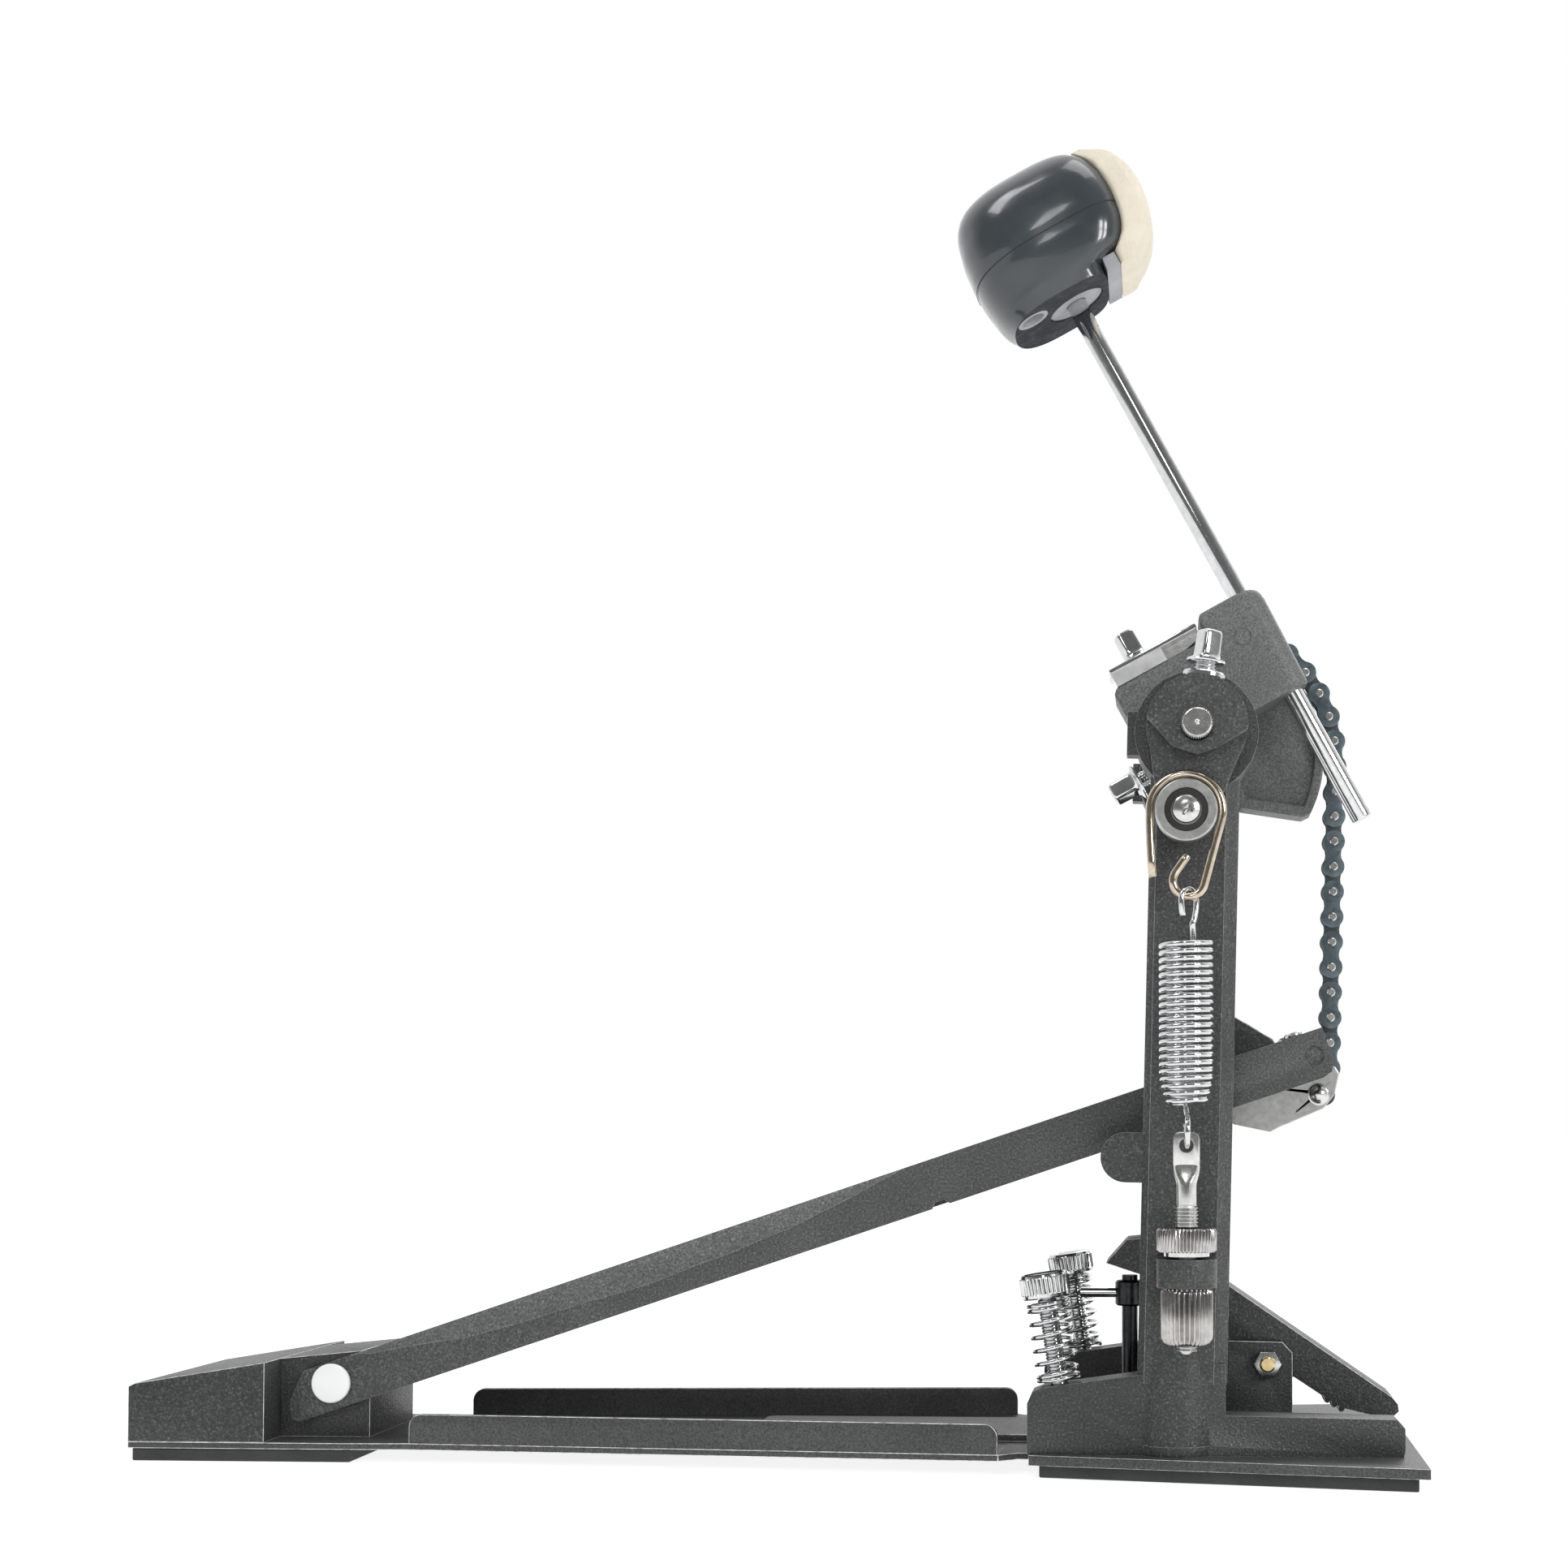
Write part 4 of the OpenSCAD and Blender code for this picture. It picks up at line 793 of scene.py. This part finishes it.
def spring_path():
    """Bottom loop through the rod's eye, coils that widen from the bottom, top loop on the hook."""
    x, y = SPRING
    eye_z = EYE_Z - 0.7 + 4.6
    bottom = []
    for k in range(0, 25):
        a = math.radians(30 - 13.5 * k)
        bottom.append((x + 0.02 * k, y + 4.6 * math.cos(a), eye_z + 4.6 * math.sin(a)))
    turns = 22.0
    grow = 0.19

    def radius(t):
        full = 7.95 - SPRING_WIRE
        return full - 2.1 * (1 - min(1, t / grow)) ** 1.6
    first = helix(x, y, 110.4, 157.6, radius, turns, math.radians(90))
    lead = [(x + 0.3, y + 1.0, 107.2), (x, y + 3.2, 108.6)]
    loop_z, loop_r = 169.35, 3.4
    turn = math.radians(50)
    lift = [(x + 2.0, y + 5.4, 157.9), (x + 2.2, y + 3.2, 158.5)]
    top = []
    for k in range(0, 29):
        a = math.radians(-62 + 10 * k)
        d = loop_r * math.cos(a)
        stretch = 2.2 if math.sin(a) < 0 else 1.0
        top.append((-2.5 + d * math.cos(turn), y + d * math.sin(turn),
                    loop_z + loop_r * stretch * math.sin(a)))
    return bottom + lead + first + lift + top


coil = piece("ReturnSpring", [(tube(spring_path(), SPRING_WIRE, 12), "chrome")], "spring",
             ["extension_spring"], 60, ride=False)
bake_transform(coil)

SPUR_COIL = 6.0  # radius of a spur spring's coils
for side, name, body in ((-1, "Near", "spur_near"), (1, "Far", "spur_far")):
    m = spur_frame(side)
    # Dead coils at both ends, open coils between
    path = helix(0, 0, 0.9, 2.6, SPUR_COIL, 1.6)
    path += helix(0, 0, 2.6, 22.4, SPUR_COIL, 5.0, math.radians(216))[1:]
    path += helix(0, 0, 22.4, 24.6, SPUR_COIL, 1.6, math.radians(216))[1:]
    path = [m @ Vector(p) for p in path]
    wire = piece("SpurSpring" + name, [(tube(path, 0.62, 12), "chrome")], body,
                 ["spur_spring_" + name.lower()], 60, ride=False)
    low, high = m @ Vector((0, 0, 0.9)) * MM, m @ Vector((0, 0, 24.6)) * MM
    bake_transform(wire)
    shank = thread_profile(3.0, -15.2, 25.5, 1.0, 0.4)
    shank = [(0, -18), (0.9, -18)] + shank[1:]
    head = lathe([(0, 25.7), (6.9, 25.7), (7.3, 26.1), (7.3, 26.9), (7.5, 27.2), (7.5, 31.6), (7.1, 32.0),
                  (6.9, 32.7), (6.3, 33.0), (5.9, 32.7), (0, 32.7)], 216, ridges(36, 0.55, 27.1, 31.7, 1.4))
    piece("SpurBolt" + name, place([(lathe(shank, 32), "chrome"), (head, "chrome")], m), body,
          ["spur_bolt_" + name.lower()], 28)


# ---------------------------------------------------------------- tension rod and its nuts

at_rod = Matrix.Translation((SPRING[0], SPRING[1], 0))
rod_thread = lathe(thread_profile(3.0, 38.7, 75.0, 1.0, 0.4), 40)
top_thread = lathe(thread_profile(3.35, 74.4, 82.0, 1.05, 0.45), 48)
neck_levels = [81.6, 82.2, 87.2, 88.4, 89.8, 91.4, 93.0]
neck_wide = [2.85, 2.9, 2.9, 3.15, 3.55, 3.8, 3.9]
neck_thick = [2.85, 2.9, 2.9, 2.6, 2.15, 1.7, 1.5]
neck_power = [2, 2, 2, 2.3, 3, 4, 6]
neck = stacked(neck_levels, [[(x, y * t / w) for x, y in rounded_section(-w, w, w, p, p, 48)]
                             for w, t, p in zip(neck_wide, neck_thick, neck_power)])
spade_points = [(-3.85, 92.6), (3.85, 92.6), (3.9, 100.6), (3.2, 102.1), (2.2, 102.4),
                (-2.2, 102.4), (-3.2, 102.1), (-3.9, 100.6)]
spade = bevelled(prism(spade_points, -1.5, 1.5), 0.35, 2)
eye = moved(cylinder(2.1, -5, 5), Matrix.Translation((0, 0, EYE_Z)) @ ALONG_Y)
piece("TensionRod", place([(rod_thread, "bright_steel"), (top_thread, "bright_steel"), (neck, "bright_steel"),
                           (cut(spade, eye), "bright_steel")], at_rod), "base", ["tension_rod"])
nut = ring_lathe([(3.1, 67.9), (8.1, 67.9), (8.65, 68.4), (8.65, 74.1), (8.1, 74.7), (3.1, 74.7)],
                 288, ridges(48, 0.6, 68.1, 74.6, 1.1))
step = ring_lathe([(3.1, 66.4), (6.3, 66.4), (6.6, 66.7), (6.6, 68.0), (3.1, 68.0)], 48)
piece("KnurledNut", place([(nut, "knurl_chrome"), (step, "chrome")], at_rod), "knurled_nut",
      ["knurled_nut"], 28)
barrel = ring_lathe([(3.1, 41.0), (4.4, 41.0), (5.9, 41.35), (6.9, 42.0), (7.4, 43.0), (7.55, 44.2),
                     (7.55, 56.2), (7.25, 57.0), (6.8, 57.4), (3.1, 57.4)],
                    300, ridges(30, 0.7, 41.2, 57.2, 0.9))
piece("BarrelNut", place([(barrel, "knurl_chrome")], at_rod), "barrel_nut", ["barrel_nut"], 28)


# ---------------------------------------------------------------- chain

CHAIN_R, PITCH = 44.6, 8.0
WRAP0 = math.radians(7.0)
WRAP_STEP = 2 * math.asin(PITCH / 2 / CHAIN_R)
RUN_TILT = math.radians(1.4)


def wrap_pin(k):
    a = WRAP0 + k * WRAP_STEP
    return CHAIN_R * math.cos(a), AXLE_Z + CHAIN_R * math.sin(a)


RUN_TOP = (CHAIN_R, wrap_pin(0)[1] - math.sqrt(PITCH ** 2 - (CHAIN_R - wrap_pin(0)[0]) ** 2))


def run_pin(k):
    return RUN_TOP[0] - k * PITCH * math.sin(RUN_TILT), RUN_TOP[1] - k * PITCH * math.cos(RUN_TILT)


def plate_outline(a, b, r=3.5):
    """A figure-of-eight chain plate from pin a to pin b."""
    dx, dz = b[0] - a[0], b[1] - a[1]
    length, turn = math.hypot(dx, dz), math.atan2(dz, dx)
    flat = arc(0, 0, r, 48, 312, 22)
    flat += [(2.95, -2.42), (length / 2, -2.28), (length - 2.95, -2.42)]
    flat += arc(length, 0, r, 228, 492, 22)
    flat += [(length - 2.95, 2.42), (length / 2, 2.28), (2.95, 2.42)]
    c, s = math.cos(turn), math.sin(turn)
    return [(a[0] + x * c - z * s, a[1] + x * s + z * c) for x, z in flat]


def plates(a, b, y0, y1, material):
    return [(bevelled(prism(plate_outline(a, b), low, high), 0.14, 2, 50), material)
            for low, high in ((y0, y1), (-y1, -y0))]


def cylinder_y(p, r, y0, y1, edge=0.0, sides=28):
    profile = [(0, y0), (r - edge, y0), (r, y0 + edge), (r, y1 - edge), (r - edge, y1), (0, y1)] \
        if edge else [(0, y0), (r, y0), (r, y1), (0, y1)]
    return moved(lathe(profile, sides), Matrix.Translation((p[0], 0, p[1])) @ ALONG_Y)


def inner_link(a, b):
    parts = plates(a, b, 1.7, 2.5, "chain_dark")
    for p in (a, b):
        parts.append((cylinder_y(p, 2.5, -1.7, 1.7), "steel"))
    return parts


def outer_link(a, b):
    parts = plates(a, b, 2.8, 3.6, "chain_blue")
    for p in (a, b):
        parts.append((cylinder_y(p, 1.35, -4.4, 4.4, 0.35), "bright_steel"))
    return parts


wrapped = []
for k in (3, 5):
    wrapped += outer_link(wrap_pin(k + 1), wrap_pin(k))
for k in (4, 6):
    wrapped += inner_link(wrap_pin(k + 1), wrap_pin(k))
piece("ChainWrapped", wrapped, "rocker", ["chain_wrapped"])
for k, maker in ((1, inner_link), (2, outer_link), (3, inner_link), (4, outer_link)):
    low = wrap_pin(3 - k) if k < 4 else run_pin(0)
    piece(f"ChainLink{k}", maker(wrap_pin(4 - k), low), f"chain_link_{k}", [f"chain_link_{k}"])
hanging = []
for k in range(12):
    hanging += (outer_link if k % 2 else inner_link)(run_pin(k), run_pin(k + 1))
piece("ChainRun", hanging, "chain_run", ["chain_run"])
finish_node("chain_end_link", "chain_dark", 0.25)


# ---------------------------------------------------------------- beater

shaft = lathe([(0, -43.7), (2.5, -43.7), (3.0, -43.3), (3.2, -42.7), (3.2, 178), (2.7, 179), (0, 179)], 48)
piece("BeaterShaft", place([(shaft, "chrome")], HEAD), "beater_shaft", ["beater_shaft"])


def interp(table, z):
    """The value of a table of (height, value) at a height, straight between its rows."""
    for (z0, v0), (z1, v1) in zip(table, table[1:]):
        if z0 <= z <= z1:
            return v0 + (v1 - v0) * (z - z0) / (z1 - z0) if z1 > z0 else v1
    return table[0][1] if z < table[0][0] else table[-1][1]


def smooth_interp(table, z):
    """Average over a short span, so that the table's corners don't show."""
    span = 1.3
    low, high = table[0][0], table[-1][0]
    values = [interp(table, min(max(z + span * k, low), high)) for k in (-1, -0.5, 0, 0.5, 1)]
    return sum(values) / len(values)


SHELL_LEFT = [(142.5, -21.6), (144, -23.4), (147.5, -24.8), (154, -25.9), (160.7, -26.4), (170, -25.7),
              (177.8, -23.8), (181.8, -21.4), (184.6, -17.2), (186.1, -12.0), (187.0, -5.0), (187.3, 2.0)]
SHELL_RIGHT = [(142.5, 11.2), (146.9, 11.5), (147.4, 17.4), (148.6, 20.0), (151, 22.4), (155, 24.2),
               (160, 25.2), (166, 25.6), (171, 25.3), (176, 24.1), (180.6, 21.6), (183.6, 18.2),
               (185.6, 13.6), (187.3, 7.0)]
SHELL_HALF = [(142.5, 19.8), (144, 21.0), (148, 22.8), (155, 24.4), (163, 25.0), (171, 24.0), (177, 21.6),
              (181, 18.4), (184, 14.2), (186, 9.5), (187.3, 3.5)]
SHELL_POWERS = (2.5, 4.2)  # how square its left and right ends are
SEAM_Z = 160.2
levels = [142.5, 142.9, 143.6, 144.6, 146, 147.2, 148.2, 149.4] + [151 + 2.2 * k for k in range(15)]
levels += [183.2, 184.0, 184.7, 185.3, 185.9, 186.4, 186.8, 187.1, 187.3]
sections = []
for z in levels:
    left = smooth_interp(SHELL_LEFT, z)
    right = interp(SHELL_RIGHT, z) if z < 150 else smooth_interp(SHELL_RIGHT, z)
    half = smooth_interp(SHELL_HALF, z)
    groove = 0.22 if abs(z - 159.8) < 0.2 else 0.0
    sections.append(rounded_section(left + groove, right - groove, half - groove, *SHELL_POWERS))
shell = stacked(levels, sections)
pocket = cylinder(9.4, 130, 146.5, sides=64)
socket = cylinder(5.4, 130, 152.5, -15.2, -8.5, 48)
shell = cut(shell, pocket, socket)
shell_obj = piece("HeadHousing", place([(shell, "shell_black")], HEAD), "beater_head",
                  ["head_shell"], 40)
# The cut underside is a dull matte face, and darker than the shell: painted shade under the head
shell_obj.data.materials.append(M["shell_underside_shade"])
down = HEAD.to_3x3() @ Vector((0, 0, -1))
cut_face = (HEAD @ Vector((0, 0, 143.2)) * MM).dot(down)
for polygon in shell_obj.data.polygons:
    if polygon.normal.dot(down) > 0.97 and polygon.center.dot(down) > cut_face:
        polygon.material_index = 1
# The moulding seam round the shell
seam = []
for i in range(0, 73):
    x, y = rounded_section(smooth_interp(SHELL_LEFT, 160) - 0.01, smooth_interp(SHELL_RIGHT, 160) + 0.01,
                           smooth_interp(SHELL_HALF, 160) + 0.01, *SHELL_POWERS)[i % 72]
    seam.append((x, y, SEAM_Z))
piece("HeadSeam", place([(tube(seam, 0.09, 6, False), "seal_black")], HEAD), "beater_head",
      (), 60)

FELT_RIGHT = [(142.7, 22.0), (144, 25.2), (146, 28.6), (150.4, 31.7), (156.7, 33.7), (163, 34.7), (169, 34.3),
              (175, 32.0), (179, 28.2), (181.3, 23.6)]
FELT_HALF = [(142.7, 16.6), (145, 17.6), (155, 19.0), (166, 19.0), (176, 17.2), (181.3, 13.0)]
felt_levels = [142.7, 143.1, 143.8] + [145 + 2.0 * k for k in range(18)] + [180.0, 180.7, 181.1, 181.3]
felt_sections = []
for z in felt_levels:
    right = smooth_interp(FELT_RIGHT, z)
    left = 16.2 if z < 148.5 else smooth_interp(SHELL_RIGHT, z) - 1.6
    felt_sections.append(rounded_section(left, max(right, left + 1.5), smooth_interp(FELT_HALF, z), 9, 2.7))
pad = stacked(felt_levels, felt_sections)
bmesh.ops.subdivide_edges(pad, edges=pad.edges[:], cuts=1, use_grid_fill=True)
pad.normal_update()
for vert in pad.verts:
    p = vert.co * 0.55
    rough = noise.noise(p) * 0.16 + noise.noise(p * 3.7) * 0.12
    if vert.co.x > 26:
        vert.co += vert.normal * rough
felt_piece = piece("HeadFelt", place([(pad, "felt_cream")], HEAD), "beater_head",
                   ["head_felt"], 70)


# ---------------------------------------------------------------- heel, toe and clamp details

def heel_cap(side):
    """A polished cap on one end of the hinge pin."""
    cap = lathe([(0, 0), (6.1, 0), (6.1, 1.1), (5.8, 1.45), (5.0, 1.6), (0, 1.6)], 56)
    if side < 0:
        cap.transform(Matrix.Scale(-1, 4, (0, 0, 1)))
    return moved(cap, Matrix.Translation((0, 0, side * 27.4))), "cap_white"


heel = Matrix.Translation((HEEL_X, 0, HEEL_Z)) @ ALONG_Y
piece("HeelPin", place([heel_cap(1), (cylinder(3.0, -28, 28), "steel"), heel_cap(-1)], heel),
      "base", ["hinge_pin"])

rivet = [(0, -17.6), (1.3, -17.4), (2.3, -16.7), (2.9, -15.8), (3.0, -15.2), (2.4, -14.9), (3.4, -14.7),
         (3.4, -14.1), (1.6, -14.0), (1.6, 14.0), (3.4, 14.1), (3.4, 14.7), (2.9, 15.8), (2.3, 16.6), (0, 17)]
toe_pin = moved(lathe(rivet, 40), Matrix.Translation((38.2, 0, 113.6)) @ ALONG_Y)
piece("ToePin", [(toe_pin, "bright_steel")], "footboard", ["toe_pin"])

toe_parts = []
for y in (-20, 20):
    head = lathe([(0, 0.1), (2.7, 0.1), (3.0, 0.4), (2.9, 1.0), (2.2, 1.5), (0, 1.6)], 32)
    stem = lathe([(0, -9.4), (1.9, -9.4), (1.9, 0.2), (0, 0.2)], 24)
    at = BOARD @ Matrix.Translation((318.8, y, BOARD_TOP))
    toe_parts += place([(head, "bright_steel"), (stem, "steel")], at)
piece("ToeScrews", toe_parts, "footboard", ["toe_screws"])

pivot = Matrix.Translation((JAW_X, 0, JAW_Z)) @ ALONG_Y
rod = lathe([(0, -20.4), (1.9, -20.4), (2.4, -19.9), (2.5, -19.4), (2.5, 16), (0, 16)], 32)
bolt_parts = [(moved(rod, pivot), "brass")]
for y0, y1 in ((-19.3, -16.1), (16.1, 19.3)):
    hexagon = [(4.4 * math.cos(math.radians(60 * k)), 4.4 * math.sin(math.radians(60 * k))) for k in range(6)]
    nut_body = bevelled(prism([(JAW_X + x, JAW_Z + z) for x, z in hexagon], y0, y1), 0.3, 2)
    bolt_parts.append((nut_body, "bright_steel"))
piece("JawBolt", bolt_parts, "base", ["jaw_bolt"])

tee_hub = moved(lathe([(0, 46.7), (4.0, 46.7), (4.6, 47.3), (4.6, 54.1), (4.0, 54.7), (0, 54.7)], 40),
                Matrix.Translation((TEE_X, 0, 0)))
handle = lathe([(0, -37), (1.1, -37), (1.5, -36.6), (1.5, -8.4), (1.1, -8), (0, -8)], 24)
handle = moved(handle, Matrix.Translation((0, 0, 50.7)) @ Matrix.Rotation(math.radians(90), 4, "Y"))
tee_bore = cylinder(2.56, 40, 60, TEE_X)
piece("ClampTee", [(cut(tee_hub, tee_bore), "oxide"), (handle, "chrome")], "clamp_tee",
      ["clamp_tee"])


# ---------------------------------------------------------------- stage

floor_mesh = bmesh.new()
bmesh.ops.create_circle(floor_mesh, cap_ends=True, segments=96, radius=9)
floor = bpy.data.objects.new("Floor", to_mesh(floor_mesh, "Floor"))
bpy.context.collection.objects.link(floor)
floor_mat, _, floor_shader = node_tree("FloorPaper")
floor_shader.inputs["Base Color"].default_value = (0.30, 0.30, 0.302, 1)
floor_shader.inputs["Roughness"].default_value = 0.9
floor_shader.inputs["Specular IOR Level"].default_value = 0.1
floor_shader.inputs["Emission Color"].default_value = (1, 1, 1, 1)
floor_shader.inputs["Emission Strength"].default_value = 0.86
floor.data.materials.append(floor_mat)

# A white backdrop beyond the pedal and a dimmer room in front of it, so that plated parts read
world = bpy.data.worlds.new("Studio")
bpy.context.scene.world = world
world.use_nodes = True
sky = world.node_tree
direction = sky.nodes.new("ShaderNodeTexCoord").outputs["Generated"]
split = sky.nodes.new("ShaderNodeSeparateXYZ")
sky.links.new(direction, split.inputs["Vector"])
depth = math_node(sky, "MULTIPLY_ADD", split.outputs["Y"], 0.5)
depth.node.inputs[2].default_value = 0.5
room = [(0.12, grey(0.16)), (0.62, grey(1.0)), (0.42, grey(0.34))]
sky.links.new(ramp(sky, depth, room), sky.nodes["Background"].inputs["Color"])
sky.nodes["Background"].inputs["Strength"].default_value = 1.0


def area(name, place_at, target, size, power, size_y=None):
    """A soft light, its place and target in metres and its power in watts."""
    light = bpy.data.lights.new(name, "AREA")
    light.energy = power
    light.size = size
    if size_y:
        light.shape = "RECTANGLE"
        light.size_y = size_y
    obj = bpy.data.objects.new(name, light)
    bpy.context.collection.objects.link(obj)
    obj.location = place_at
    obj.rotation_mode = "QUATERNION"
    obj.rotation_quaternion = (Vector(target) - Vector(place_at)).to_track_quat("-Z", "Y")
    return obj


# Softboxes placed where the glossy shell of the beater shows them: a tall one up to the left, one
# above the camera and a small window of four panes low to the right; an overhead and a rim behind
area("LeftSoftbox", (-0.66, -0.36, 1.28), (-0.05, -0.04, 0.39), 0.30, 3.2, 0.55)
area("FrontSoftbox", (-0.12, -1.16, 0.83), (-0.04, -0.04, 0.38), 0.16, 1.1, 0.36)
for side in (-1, 1):
    for level in (-1, 1):
        area(f"Pane{side}{level}", (0.79 + side * 0.085, -0.72 + side * 0.1, 0.50 + level * 0.1),
             (-0.03, -0.04, 0.38), 0.15, 1.3, 0.17)
# Lifts the low black parts, unseen in the plated ones
low_fill = area("LowFill", (-0.2, -1.3, 0.55), (-0.12, 0.05, 0.02), 0.7, 4.5)
low_fill.visible_glossy = False
area("Overhead", (0.25, -0.1, 1.6), (0, 0, 0.1), 0.8, 5)
area("BackRim", (0.35, 1.1, 0.9), (0, 0, 0.2), 0.8, 4)

camera_data = bpy.data.cameras.new("Camera")
camera = bpy.data.objects.new("Camera", camera_data)
bpy.context.collection.objects.link(camera)
bpy.context.scene.camera = camera
LENS_PX, FRAME_PX, SENSOR = 3016, 1932, 36.0
camera_data.sensor_width = SENSOR
camera_data.lens = LENS_PX / FRAME_PX * SENSOR
camera_data.shift_x = -0.15
camera_data.shift_y = 0.15
camera_data.clip_start, camera_data.clip_end = 0.01, 40
yaw, pitch = math.radians(3.53), math.radians(2.15)
camera.location = (-0.008, -0.782, 0.1084)
look = Vector((-math.sin(yaw) * math.cos(pitch), math.cos(yaw) * math.cos(pitch), math.sin(pitch)))
camera.rotation_mode = "QUATERNION"
camera.rotation_quaternion = look.to_track_quat("-Z", "Y")
bpy.context.scene.view_settings.view_transform = "Standard"
